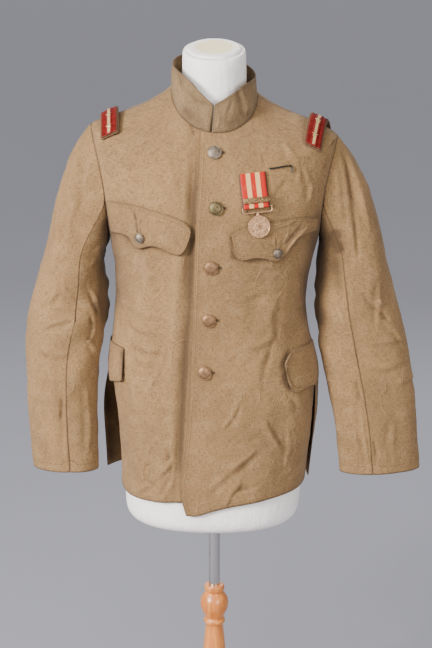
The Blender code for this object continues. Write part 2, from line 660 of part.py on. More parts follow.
class Sleeve:
    """One sleeve: a cap from the armhole's edge to the upper arm, then rings down to the cuff."""

    def __init__(self, side, table, folds):
        self.side = side
        self.read = column_reader(SLEEVE_COLUMNS, sorted(table))
        self.top = max(row[0] for row in table)
        self.cuff = min(row[0] for row in table)
        self.radius = 0.056
        self.folds = []
        for turn_1, height_1, turn_2, height_2, width, rise in folds:
            start, end = math.radians(turn_1) * self.radius, math.radians(turn_2) * self.radius
            self.folds.append((start, height_1, end, height_2, width, rise))

    def armhole(self, turn):
        """The armhole's edge; turn 0 is the shoulder seam and 90 degrees the front."""
        height = 0.5 * (ARMPIT + TIP) + 0.5 * (TIP - ARMPIT) * math.cos(turn)
        spread = ARMHOLE_SPREAD * math.sin(turn)
        angle = -spread if self.side > 0 else -math.pi + spread
        return body_point(angle, height)

    def ring(self, turn, height):
        width, depth = self.read("half_width", height), self.read("half_depth", height)
        twist = self.read("turn", height)
        x, y = width * math.cos(turn), -depth * math.sin(turn)
        x, y = x * math.cos(twist) - y * math.sin(twist), x * math.sin(twist) + y * math.cos(twist)
        x += self.read("across", height)
        y += self.read("along", height)
        return Vector((self.side * x, y, height + FLOOR_TO_MIDDLE))

    def bare(self, turn, down):
        """A point of the sleeve; down is 0 at the armhole, 1 at the upper arm, 2 at the cuff."""
        if down > 1:
            return self.ring(turn, self.top + (down - 1) * (self.cuff - self.top))
        out = Vector((self.side, 0.0, 0.0))
        low = 0.5 * (1 - math.cos(turn))
        start = self.armhole(turn) + out * (SLEEVE_START * (0.6 + 0.4 * low))
        end = self.ring(turn, self.top)
        reach = (end - start).length
        leave = Vector((self.side * (0.70 - 0.47 * low), -0.10 * math.sin(turn), -0.66 - 0.34 * low)).normalized()
        arrive = (self.ring(turn, self.top - 0.02) - end).normalized()
        t = max(down, -0.05)
        return ((2 * t**3 - 3 * t**2 + 1) * start + (t**3 - 2 * t**2 + t) * reach * leave
                + (3 * t**2 - 2 * t**3) * end + (t**3 - t**2) * reach * arrive)

    def rise(self, turn, down):
        height = self.bare(turn, down).z - FLOOR_TO_MIDDLE
        around = 2 * math.pi * self.radius
        across = ((turn + math.pi) % (2 * math.pi) - math.pi) * self.radius
        total = sum(fold_rise(self.folds, across + k * around, height) for k in (-1, 0, 1))
        return total * ease(down / 0.5)

    def point(self, turn, down):
        bare = self.bare(turn, down)
        rise = self.rise(turn, down)
        if abs(rise) < 1e-7:
            return bare
        return bare + rise * self.side * surface_normal(self.bare, turn, down, 0.02, 0.01)

    def place(self, start, end):
        """Return the place function of the stretch between two seams, given in ring steps."""
        step = 2 * math.pi / (2 * ARM_ROWS)
        rows = CAP_ROWS + SLEEVE_RINGS_BELOW

        def place(u, v):
            row = (1 - v) * rows
            down = row / CAP_ROWS if row <= CAP_ROWS else 1 + (row - CAP_ROWS) / SLEEVE_RINGS_BELOW
            gap = 0.5 * SLEEVE_SEAM / self.radius
            turn = start * step + gap + u * ((end - start) * step - 2 * gap)
            normal = self.side * surface_normal(self.point, turn, down, 0.03, 0.012)
            return self.point(turn, down), normal

        return place


def make_sleeves(cloth):
    rows = CAP_ROWS + SLEEVE_RINGS_BELOW
    around = 2 * ARM_ROWS
    for name, side, table, folds in (
        ("left", 1, SLEEVE_LEFT, FOLDS_LEFT), ("right", -1, SLEEVE_RIGHT, FOLDS_RIGHT),
    ):
        sleeve = Sleeve(side, table, folds)
        top = sleeve.place(BACK_SLEEVE_SEAM - around, FRONT_SLEEVE_SEAM)
        under = sleeve.place(FRONT_SLEEVE_SEAM, BACK_SLEEVE_SEAM)
        columns = FRONT_SLEEVE_SEAM + around - BACK_SLEEVE_SEAM
        add_object(f"sleeve_{name}_top", cloth_slab(columns, rows, top, CLOTH), cloth)
        add_object(f"sleeve_{name}_under", cloth_slab(around - columns, rows, under, CLOTH), cloth)


def flap_place(rows):
    """The place function of a flap, given by a table; u runs along it and v from its free edge up."""
    count = len(rows) - 1
    inward = 1 if rows[0][0] < 0 else -1

    def place(u, v):
        i = min(int(u * count), count - 1)
        t = u * count - i
        across, top, low = (rows[i][k] + t * (rows[i + 1][k] - rows[i][k]) for k in range(3))
        height = low + v * (top - low)
        angle = angle_of(across, height)
        base, normal = body_point(angle, height), body_normal(angle, height)
        calm = ease((0.178 - inward * -across) / 0.02) if top > 0.1 else 1.0
        lift = FLAP_GAP + FLAP_LIFT * (1 - v) ** 2 * calm
        return base + normal * lift, normal

    return place


def make_flaps(cloth):
    for name, rows in (
        ("flap_breast_right", BREAST_FLAP_RIGHT), ("flap_breast_left", BREAST_FLAP_LEFT),
        ("flap_hip_right", HIP_FLAP_RIGHT), ("flap_hip_left", HIP_FLAP_LEFT),
    ):
        bm = cloth_slab(len(rows) - 1, FLAP_ROWS, flap_place(rows), CLOTH, doubled=True)
        add_object(name, bm, cloth)


def turned(outline, sides, closed=False):
    """A bmesh turned about Z from an outline of (radius, height) points."""
    bm = bmesh.new()
    verts = [bm.verts.new((radius, 0.0, height)) for radius, height in outline]
    edges = [bm.edges.new(pair) for pair in zip(verts, verts[1:])]
    if closed:
        edges.append(bm.edges.new((verts[-1], verts[0])))
    bmesh.ops.spin(bm, geom=verts + edges, axis=(0, 0, 1), cent=(0, 0, 0), steps=sides,
                   angle=2 * math.pi, use_merge=True)
    bmesh.ops.remove_doubles(bm, verts=bm.verts, dist=1e-6)
    bmesh.ops.recalc_face_normals(bm, faces=bm.faces)
    return bm


def frame_at(origin, out, up=Vector((0, 0, 1))):
    """A matrix whose Z is out from the cloth and whose Y is as near up as it can be."""
    z_axis = out.normalized()
    x_axis = up.cross(z_axis).normalized()
    y_axis = z_axis.cross(x_axis)
    matrix = Matrix((x_axis, y_axis, z_axis)).transposed().to_4x4()
    matrix.translation = origin
    return matrix


def make_buttons(metals):
    jobs = []
    for i, (across, height) in enumerate(FRONT_BUTTONS):
        jobs.append((f"button_front_{i + 1}", across, height, FRONT_BUTTON_RADIUS, 0.0, metals[i]))
    lift = FLAP_GAP + CLOTH
    jobs.append(("button_pocket_right", *POCKET_BUTTON_RIGHT, POCKET_BUTTON_RADIUS, lift, metals[-1]))
    jobs.append(("button_pocket_left", *POCKET_BUTTON_LEFT, POCKET_BUTTON_RADIUS, lift, metals[-1]))
    for name, across, height, radius, lift, metal in jobs:
        angle = angle_of(across, height)
        out = body_normal(angle, height)
        if lift:
            lift += FLAP_LIFT * (0.62 if across > 0 else 0.58)
        outline = [(share * radius, rise) for share, rise in BUTTON_OUTLINE]
        button = add_object(name, turned(outline, BUTTON_SIDES), metal)
        button.matrix_world = frame_at(body_point(angle, height) + out * (TOUCH + lift), out)


def shoulder_point(x, y):
    """The point of the shoulder above a place, found by halving."""
    low, high = 0.20, NECK_SEAM
    for _ in range(40):
        middle = 0.5 * (low + high)
        half = ring_value("left" if x > 0 else "right", middle)
        depth = ring_value("back" if y > 0 else "front", middle)
        power = ring_value("round", middle)
        inside = (abs(x) / half) ** power + (abs(y) / depth) ** power < 1
        low, high = (middle, high) if inside else (low, middle)
    return Vector((x, y, ring_z(x, y, middle)))


def make_boards(materials):
    for name, side, board in (("right", -1, BOARD_RIGHT), ("left", 1, BOARD_LEFT)):
        lean = (board["across_ridge"] - board["across_front"]) / -board["front_end"]

        slant = Vector((1.0, 0.0, -side * BOARD_SLOPE)).normalized()

        def surface(along, off, board=board, lean=lean, slant=slant):
            y = board["front_end"] + along * (board["back_end"] - board["front_end"])
            x = board["across_ridge"] + lean * y
            bow = board["bow"] * math.sin(math.pi * min(max(along, 0.0), 1.0))
            return shoulder_point(x, y) + Vector((0.0, 0.0, bow)) + slant * off

        for layer, half_width, thick, lift in BOARD_LAYERS:
            inset = 0.0 if layer == "backing" else BOARD_INSET / 0.1

            def place(u, v, half_width=half_width, lift=board["gap"] + lift, inset=inset):
                along, off = inset + v * (1 - 2 * inset), (2 * u - 1) * half_width
                normal = -surface_normal(surface, along, off, 0.02, 0.002)
                return surface(along, off) + normal * lift, normal

            bm = cloth_slab(2, BOARD_ROWS, place, thick, doubled=True)
            add_object(f"board_{name}_{layer}", bm, materials[layer])
        ridge = -board["front_end"] / (board["back_end"] - board["front_end"])
        for i, share in enumerate(STAR_PLACES):
            along = share * ridge * 1.6
            normal = -surface_normal(surface, along, 0.0, 0.02, 0.002)
            star = add_object(f"star_{name}_{i + 1}", make_star(), materials["star"])
            base = surface(along, 0.0) + normal * (board["gap"] + BOARD_TOP + TOUCH)
            star.matrix_world = frame_at(base, normal, up=Vector((0, 1, 0)))


def make_star():
    """A five-pointed star with raised arms."""
    bm = bmesh.new()
    ring = []
    for i in range(10):
        radius = STAR_RADIUS if i % 2 == 0 else STAR_INNER
        angle = math.radians(90 + 36 * i)
        ring.append(bm.verts.new((radius * math.cos(angle), radius * math.sin(angle), 0.0)))
    foot = bm.faces.new(ring)
    made = bmesh.ops.extrude_face_region(bm, geom=[foot], use_keep_orig=True)
    top = [v for v in made["geom"] if isinstance(v, bmesh.types.BMVert)]
    bmesh.ops.translate(bm, verts=top, vec=(0, 0, 0.4 * STAR_HEIGHT))
    cap = [f for f in made["geom"] if isinstance(f, bmesh.types.BMFace)]
    poked = bmesh.ops.poke(bm, faces=cap)
    bmesh.ops.translate(bm, verts=poked["verts"], vec=(0, 0, 0.6 * STAR_HEIGHT))
    bmesh.ops.recalc_face_normals(bm, faces=bm.faces)
    return bm


def medal_frames():
    """The ribbon's frame in the tangent plane at its middle, and the bar's upright frame."""
    middle_height = BAR_HEIGHT + 0.5 * RIBBON_LENGTH
    angle = angle_of(BAR_ACROSS - 0.002, middle_height)
    out = body_normal(angle, middle_height)
    ribbon = frame_at(body_point(angle, middle_height), out) @ Matrix.Rotation(RIBBON_LEAN, 4, "Z")
    ribbon = ribbon @ Matrix.Translation((0.0, -0.5 * RIBBON_LENGTH, 0.0))
    middle = ribbon @ Vector((0.0, 0.0, RIBBON_STANDS_OFF))
    across = ribbon.to_3x3() @ Vector((1.0, 0.0, 0.0))
    forward = across.cross(Vector((0, 0, 1))).normalized()
    bar = Matrix((across, forward.cross(across), forward)).transposed().to_4x4()
    bar.translation = middle
    return ribbon, bar @ Matrix.Rotation(-MEDAL_TILT, 4, "X")


def ribbon_path():
    """The ribbon's middle line in its own frame: up from the chest side of the fold, round the
    bar and up to the top. Each row is a height, a distance out and a direction outwards."""
    half = 0.5 * RIBBON_THICK
    turn = BAR_RADIUS + BORE_CLEAR + half
    rows = [(RIBBON_FOLD_BACK * (1 - t), RIBBON_STANDS_OFF - turn, -90.0) for t in (0.0, 0.5)]
    for i in range(9):
        angle = math.radians(180 + 180 * i / 8)
        rows.append((turn * math.sin(angle), RIBBON_STANDS_OFF + turn * math.cos(angle), None))
    rest = half + TOUCH
    for t in (0.10, 0.22, 0.36, 0.52, 0.68, 0.84, 1.0):
        out = RIBBON_STANDS_OFF + turn + (rest + 0.0004 - RIBBON_STANDS_OFF - turn) * ease(t / 0.55)
        rows.append((t * RIBBON_LENGTH, out, None))
    return rows


def make_medal(materials):
    ribbon_frame, bar_frame = medal_frames()
    rows = ribbon_path()
    count = len(rows) - 1

    def place(u, v):
        i = min(round(v * count), count)
        before, after = rows[max(i - 1, 0)], rows[min(i + 1, count)]
        run = Vector((0.0, after[0] - before[0], after[1] - before[1])).normalized()
        out = Vector((0.0, -run.z, run.y))
        point = Vector(((2 * u - 1) * RIBBON_HALF_WIDTH, rows[i][0], rows[i][1]))
        return ribbon_frame @ (point + out * 0.5 * RIBBON_THICK), ribbon_frame.to_3x3() @ out

    add_object("medal_ribbon", cloth_slab(2, count, place, RIBBON_THICK), materials["ribbon"])

    bm = bmesh.new()
    bmesh.ops.create_cube(bm, size=1.0)
    bmesh.ops.scale(bm, verts=bm.verts, vec=(2 * CLASP_HALF_WIDTH, 2 * CLASP_HALF_HEIGHT, CLASP_THICK))
    bmesh.ops.bevel(bm, geom=bm.edges, offset=0.0004, affect="EDGES", segments=1, profile=0.5, material=-1)
    bmesh.ops.recalc_face_normals(bm, faces=bm.faces)
    clasp = add_object("medal_clasp", bm, materials["brass"])
    turn = BAR_RADIUS + BORE_CLEAR + RIBBON_THICK
    clasp_out = RIBBON_STANDS_OFF + turn + TOUCH + 0.5 * CLASP_THICK
    clasp.matrix_world = ribbon_frame @ Matrix.Translation((0.0, CLASP_ABOVE_BAR, clasp_out))

    disc = add_object("medal_disc", medal_disc_mesh(), materials["brass"])
    disc.matrix_world = bar_frame
    return bar_frame


def medal_disc_mesh():
    """The bar's loop, the stem and the disc with its raised rim, joined into one body."""
    low = -LOOP_DROP
    centre = low - STEM_DROP - DISC_RADIUS
    path = [(-LOOP_HALF_WIDTH, -0.0016), (-LOOP_HALF_WIDTH, low + 0.0022), (-LOOP_HALF_WIDTH + 0.0022, low),
            (LOOP_HALF_WIDTH - 0.0022, low), (LOOP_HALF_WIDTH, low + 0.0022), (LOOP_HALF_WIDTH, -0.0016),
            (LOOP_HALF_WIDTH - 0.0016, 0.0), (-LOOP_HALF_WIDTH + 0.0016, 0.0)]
    bm = bmesh.new()
    sides = 8
    rings = []
    for i, (x, y) in enumerate(path):
        before, after = Vector(path[i - 1]), Vector(path[(i + 1) % len(path)])
        here = Vector((x, y))
        run = ((here - before).normalized() + (after - here).normalized()).normalized()
        side = Vector((-run.y, run.x, 0.0))
        ring = []
        for k in range(sides):
            a = 2 * math.pi * k / sides
            offset = side * (BAR_RADIUS * math.cos(a)) + Vector((0, 0, BAR_RADIUS * math.sin(a)))
            ring.append(bm.verts.new(Vector((x, y, 0.0)) + offset))
        rings.append(ring)
    for i, ring in enumerate(rings):
        following = rings[(i + 1) % len(rings)]
        for k in range(sides):
            n = (k + 1) % sides
            bm.faces.new((ring[k], ring[n], following[n], following[k]))
    bmesh.ops.recalc_face_normals(bm, faces=bm.faces)
    loop = scratch_object(bm)

    half = 0.5 * DISC_THICK
    outline = [(0.0, -half + 0.0004), (DISC_RADIUS - DISC_RIM, -half + 0.0004), (DISC_RADIUS - DISC_RIM, -half),
               (DISC_RADIUS, -half), (DISC_RADIUS, half), (DISC_RADIUS - DISC_RIM, half),
               (DISC_RADIUS - DISC_RIM - 0.0004, half - 0.0006), (0.0, half - 0.0006)]
    bm = turned(outline, DISC_SIDES)
    bmesh.ops.translate(bm, verts=bm.verts, vec=(0.0, centre, 0.0))
    disc = scratch_object(bm)

    bm = bmesh.new()
    bmesh.ops.create_cone(bm, cap_ends=True, segments=10, radius1=0.0026, radius2=0.0016,
                          depth=STEM_DROP + 0.0028)
    bmesh.ops.rotate(bm, verts=bm.verts, cent=(0, 0, 0), matrix=Matrix.Rotation(math.radians(-90), 3, "X"))
    bmesh.ops.scale(bm, verts=bm.verts, vec=(1.0, 1.0, 0.5))
    bmesh.ops.translate(bm, verts=bm.verts, vec=(0.0, low - 0.5 * STEM_DROP - 0.0004, 0.0))
    stem = scratch_object(bm)

    for piece in (disc, stem):
        union = loop.modifiers.new(piece.name, "BOOLEAN")
        union.operation = "UNION"
        union.solver = "EXACT"
        union.object = piece
    depsgraph = bpy.context.evaluated_depsgraph_get()
    joined = bmesh.new()
    joined.from_mesh(loop.evaluated_get(depsgraph).to_mesh())
    bmesh.ops.remove_doubles(joined, verts=joined.verts, dist=1e-6)
    for piece in (loop, disc, stem):
        bpy.data.objects.remove(piece)
    return joined


def scratch_object(bm):
    """A short-lived object for a Boolean."""
    mesh = bpy.data.meshes.new("scratch")
    bm.to_mesh(mesh)
    bm.free()
    obj = bpy.data.objects.new("scratch", mesh)
    bpy.context.scene.collection.objects.link(obj)
    return obj


def make_ribbon_pin(material):
    """The pin beside the ribbon: a bent wire that lies on the cloth."""
    curve = bpy.data.curves.new("ribbon_pin", "CURVE")
    curve.dimensions = "3D"
    curve.bevel_depth = PIN_RADIUS
    curve.bevel_resolution = 2
    curve.use_fill_caps = True
    spline = curve.splines.new("POLY")
    spline.points.add(len(PIN_PATH) - 1)
    for point, (across, height) in zip(spline.points, PIN_PATH):
        angle = angle_of(across, height)
        place = body_point(angle, height) + body_normal(angle, height) * (PIN_RADIUS + TOUCH + 0.0002)
        point.co = (*place, 1.0)
    curve.materials.append(material)
    obj = bpy.data.objects.new("ribbon_pin", curve)
    bpy.context.scene.collection.objects.link(obj)


def loft(rings):
    """A closed solid through rings of as many points each, with its two ends filled."""
    bm = bmesh.new()
    loops = [[bm.verts.new(point) for point in ring] for ring in rings]
    sides = len(loops[0])
    for low, high in zip(loops, loops[1:]):
        for k in range(sides):
            n = (k + 1) % sides
            bm.faces.new((low[k], low[n], high[n], high[k]))
    bm.faces.new(reversed(loops[0]))
    bm.faces.new(loops[-1])
    bmesh.ops.recalc_face_normals(bm, faces=bm.faces)
    return bm


def circle(radius, height, sides, middle_y=0.0, tilt=0.0):
    points = []
    for k in range(sides):
        angle = 2 * math.pi * k / sides
        y = radius * math.sin(angle)
        points.append(Vector((radius * math.cos(angle), middle_y + y, FLOOR_TO_MIDDLE + height + tilt * y)))
    return points


form_clear_at = column_reader(("height", "clear"), FORM_CLEAR)


def form_ring(height):
    """A ring of the dress form: the body surface, inside the cloth's inner face."""
    ring = []
    for k in range(FORM_SIDES):
        angle = 2 * math.pi * k / FORM_SIDES
        inward = CLOTH + form_clear_at("clear", height)
        wrapped = angle if angle <= 0.5 * math.pi else angle - 2 * math.pi
        ring.append(bare_ring_point(wrapped, height) - bare_normal(wrapped, height) * inward)
    return ring


def make_form(material, cap_material):
    socket = POLE_RADIUS + BORE_CLEAR
    bottom = FORM_BOTTOM[-1][0]
    rings = [circle(socket, SOCKET_TOP + 0.0005, FORM_SIDES), circle(socket, bottom, FORM_SIDES)]
    lowest = form_ring(FORM_HEIGHTS[0])
    for height, share in reversed(FORM_BOTTOM):
        rings.append([Vector((p.x * share, p.y * share, FLOOR_TO_MIDDLE + height)) for p in lowest])
    rings += [form_ring(height) for height in FORM_HEIGHTS]
    rings.append(circle(NECK_RADIUS + 0.004, NECK_BASE - 0.004, FORM_SIDES, NECK_MIDDLE_Y, 0.45))
    for share in (0.12, 0.5, 0.94):
        height = NECK_BASE + share * (NECK_TOP - NECK_BASE)
        rings.append(circle(NECK_RADIUS, height, FORM_SIDES, NECK_MIDDLE_Y, NECK_TILT))
    rings.append(circle(NECK_RADIUS - 0.0025, NECK_TOP, FORM_SIDES, NECK_MIDDLE_Y, NECK_TILT))
    add_object("form_torso", loft(rings), material)

    top = NECK_TOP + TOUCH
    cap = [circle(CAP_RADIUS, top, FORM_SIDES, NECK_MIDDLE_Y, NECK_TILT),
           circle(CAP_RADIUS, top + 0.6 * CAP_THICK, FORM_SIDES, NECK_MIDDLE_Y, NECK_TILT),
           circle(CAP_RADIUS - 0.003, top + CAP_THICK, FORM_SIDES, NECK_MIDDLE_Y, NECK_TILT)]
    add_object("form_neck_cap", loft(cap), cap_material)


def make_stand(chrome, wood):
    pole = turned([(0.0, POLE_BOTTOM), (POLE_RADIUS - 0.001, POLE_BOTTOM), (POLE_RADIUS, POLE_BOTTOM + 0.001),
                   (POLE_RADIUS, POLE_TOP - 0.001), (POLE_RADIUS - 0.001, POLE_TOP), (0.0, POLE_TOP)], STAND_SIDES)
    add_object("stand_pole", pole, chrome).location.z = FLOOR_TO_MIDDLE
    bore = POLE_RADIUS + BORE_CLEAR
    outline = [(0.0, POST_OUTLINE[0][0])] + [(radius, height) for height, radius in POST_OUTLINE]
    outline += [(bore, POST_OUTLINE[-1][0]), (bore, BORE_BOTTOM), (0.0, BORE_BOTTOM)]
    add_object("stand_post", turned(outline, STAND_SIDES), wood).location.z = FLOOR_TO_MIDDLE
    outline = [(radius * BASE_RADIUS, height * BASE_HEIGHT) for radius, height in BASE_OUTLINE]
    add_object("stand_base", turned(outline, BASE_SIDES), wood)


def main():
    for obj in list(bpy.data.objects):
        bpy.data.objects.remove(obj)
    cloth = make_material("jacket_cloth", (0.40, 0.29, 0.17), 0.9)
    silver = make_material("button_silver", (0.45, 0.43, 0.40), 0.4, 0.9)
    bronze = make_material("button_bronze", (0.20, 0.15, 0.09), 0.45, 0.9)
    copper = make_material("button_copper", (0.42, 0.25, 0.14), 0.4, 0.9)
    boards = {
        "backing": make_material("board_backing", (0.10, 0.05, 0.03), 0.9),
        "felt": make_material("board_felt", (0.60, 0.06, 0.04), 0.9),
        "lace": make_material("board_lace", (0.70, 0.60, 0.42), 0.6, 0.2),
        "star": make_material("board_star", (0.85, 0.68, 0.35), 0.35, 0.9),
    }
    medal = {
        "ribbon": make_material("medal_ribbon", (0.62, 0.12, 0.09), 0.6),
        "brass": make_material("medal_brass", (0.50, 0.36, 0.24), 0.4, 0.9),
    }
    black = make_material("pin_black", (0.02, 0.02, 0.02), 0.4, 0.5)
    form = make_material("form_white", (0.82, 0.79, 0.77), 0.7)
    cream = make_material("form_cream", (0.85, 0.78, 0.58), 0.6)
    chrome = make_material("pole_chrome", (0.60, 0.58, 0.55), 0.2, 1.0)
    wood = make_material("stand_beech", (0.72, 0.36, 0.16), 0.4)
    make_panels(cloth)
    add_object("collar", cloth_slab(COLLAR_COLUMNS, COLLAR_ROWS, collar_place, CLOTH), cloth)
    make_sleeves(cloth)
    make_flaps(cloth)
    make_buttons((silver, bronze, copper, copper, copper, bronze))
    make_boards(boards)
    make_medal(medal)
    make_ribbon_pin(black)
    make_form(form, cream)
    make_stand(chrome, wood)


main()
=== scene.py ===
"""The looks of an officer's summer jacket on a limbless dress form with a turned stand.

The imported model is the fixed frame. Each cloth piece takes the outer face of its own solid,
is made finer, gets its creases and small rumples, and then its thickness. Creases on the front
are named by where they lie in the photograph's frame; those on the hidden sides by how far round
the body or the sleeve they are. Hard pieces are turned, swept or bevelled.
"""

import json
import logging
import math
from dataclasses import dataclass, field
from enum import Enum
from typing import Callable, Dict, List, Optional, Sequence, Tuple

import bmesh
import bpy
import numpy as np
from mathutils import Matrix, Vector, noise
from mathutils.bvhtree import BVHTree
from mathutils.kdtree import KDTree

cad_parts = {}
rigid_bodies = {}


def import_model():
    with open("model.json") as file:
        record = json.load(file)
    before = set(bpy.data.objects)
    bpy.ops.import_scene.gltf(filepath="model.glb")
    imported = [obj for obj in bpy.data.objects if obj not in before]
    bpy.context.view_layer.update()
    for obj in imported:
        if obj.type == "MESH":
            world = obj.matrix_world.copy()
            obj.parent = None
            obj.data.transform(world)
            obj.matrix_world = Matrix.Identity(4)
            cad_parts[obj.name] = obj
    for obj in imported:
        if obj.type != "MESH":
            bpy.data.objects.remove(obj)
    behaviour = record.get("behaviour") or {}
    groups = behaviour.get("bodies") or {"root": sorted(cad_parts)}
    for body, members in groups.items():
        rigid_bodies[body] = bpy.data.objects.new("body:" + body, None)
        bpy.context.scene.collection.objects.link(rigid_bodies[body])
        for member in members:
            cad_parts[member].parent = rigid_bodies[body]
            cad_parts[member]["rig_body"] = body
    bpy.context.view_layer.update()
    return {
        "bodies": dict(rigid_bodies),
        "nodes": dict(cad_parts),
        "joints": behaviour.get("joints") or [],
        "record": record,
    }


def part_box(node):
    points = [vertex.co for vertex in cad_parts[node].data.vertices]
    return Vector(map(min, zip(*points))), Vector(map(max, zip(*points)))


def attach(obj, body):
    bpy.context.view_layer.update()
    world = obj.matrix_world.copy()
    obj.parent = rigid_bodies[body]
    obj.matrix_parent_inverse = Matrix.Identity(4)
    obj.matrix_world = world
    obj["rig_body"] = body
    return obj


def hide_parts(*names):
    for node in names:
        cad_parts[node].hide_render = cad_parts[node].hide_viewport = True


LOG = logging.getLogger("jacket")
CLOTH_MAP = "cloth"          # the UV map of a cloth piece, in metres
MILLI = 0.001

Colour = Tuple[float, float, float]
Point2 = Tuple[float, float]


# ---- Photograph's view


@dataclass(frozen=True)
class PhotoView:
    """The camera that took the photograph, and where a point lands in its frame."""

    lens: float = 75.0
    sensor: float = 36.0
    distance: float = 2.2
    tilt: float = math.radians(14.0)
    target: Tuple[float, float, float] = (0.0028, 0.0, 0.80)
    width: int = 432
    height: int = 648

    @property
    def place(self) -> Vector:
        """The camera's place."""
        back = Vector((0.0, -math.cos(self.tilt), math.sin(self.tilt)))
        return Vector(self.target) + back * self.distance

    def project(self, points: np.ndarray) -> np.ndarray:
        """Where points land in the photograph's frame.

        Args:
            points: an (N, 3) array in metres.

        Returns:
            An (N, 2) array of pixels, counted from the upper left corner.
        """
        from_camera = points - np.array(self.place)
        forward = np.array((0.0, math.cos(self.tilt), -math.sin(self.tilt)))
        up = np.array((0.0, math.sin(self.tilt), math.cos(self.tilt)))
        depth = from_camera @ forward
        scale = self.lens / self.sensor * self.height
        across = 0.5 * self.width + scale * from_camera[:, 0] / depth
        down = 0.5 * self.height - scale * (from_camera @ up) / depth
        return np.stack([across, down], axis=1)

    def add_camera(self) -> None:
        """Create the camera and make it the scene's."""
        data = bpy.data.cameras.new("photo_camera")
        data.lens = self.lens
        data.sensor_width = self.sensor
        data.clip_end = 400.0
        camera = bpy.data.objects.new("photo_camera", data)
        camera.location = self.place
        camera.rotation_euler = (0.5 * math.pi - self.tilt, 0.0, 0.0)
        bpy.context.scene.collection.objects.link(camera)
        bpy.context.scene.camera = camera


VIEW = PhotoView()
PIXEL = 1.63 * MILLI         # a pixel of the photograph at the middle of the body, in metres
BOLDNESS = 1.16              # how much bolder every crease stands than its own figure
HIDDEN_BOLDNESS = 1.25       # and how much bolder again those on the hidden sides stand
SHARPNESS = 0.60             # how wide every crease is, as a share of its own figure
FRONT_FACING = 0.2           # below this part of its normal along +Y, cloth is seen from the front
ON_EDGE = 1e-5               # nearer to an open edge than this, in metres, a point lies on it
FAR = 1e9                    # further off than anything


# ---- Shader graph


class Value:
    """A number on its way through a material. Arithmetic on it adds Math nodes."""

    def __init__(self, graph: "Graph", socket: bpy.types.NodeSocket) -> None:
        """Wrap an output socket of a graph."""
        self.graph = graph
        self.socket = socket

    def _math(self, operation: str, other: object, swapped: bool = False) -> "Value":
        """Add a Math node for one operation."""
        first, second = (other, self) if swapped else (self, other)
        return self.graph.node("ShaderNodeMath", {"operation": operation}, {0: first, 1: second})

    def __add__(self, other: object) -> "Value":
        """self + other."""
        return self._math("ADD", other)

    def __radd__(self, other: object) -> "Value":
        """other + self."""
        return self._math("ADD", other, True)

    def __sub__(self, other: object) -> "Value":
        """self - other."""
        return self._math("SUBTRACT", other)

    def __rsub__(self, other: object) -> "Value":
        """other - self."""
        return self._math("SUBTRACT", other, True)

    def __mul__(self, other: object) -> "Value":
        """self * other."""
        return self._math("MULTIPLY", other)

    def __rmul__(self, other: object) -> "Value":
        """other * self."""
        return self._math("MULTIPLY", other, True)

    def __truediv__(self, other: object) -> "Value":
        """self / other."""
        return self._math("DIVIDE", other)

    def __rtruediv__(self, other: object) -> "Value":
        """other / self."""
        return self._math("DIVIDE", other, True)

    def __neg__(self) -> "Value":
        """Minus self."""
        return self._math("MULTIPLY", -1.0)

    def wave(self) -> "Value":
        """The sine of self."""
        return self._math("SINE", 0.0)

    def size(self) -> "Value":
        """Self without its sign."""
        return self._math("ABSOLUTE", 0.0)

    def part(self) -> "Value":
        """What is left of self past its whole number."""
        return self._math("FRACT", 0.0)

    def step(self, low: float, high: float) -> "Value":
        """A soft step that is 0 below low and 1 above high."""
        return self.graph.node("ShaderNodeMapRange", {"interpolation_type": "SMOOTHSTEP"},
                               {"Value": self, "From Min": low, "From Max": high})

    def band(self, middle: float, half: float, soft: float) -> "Value":
        """1 within half of middle, and 0 further off than half + soft."""
        return 1.0 - (self - middle).size().step(half, half + soft)


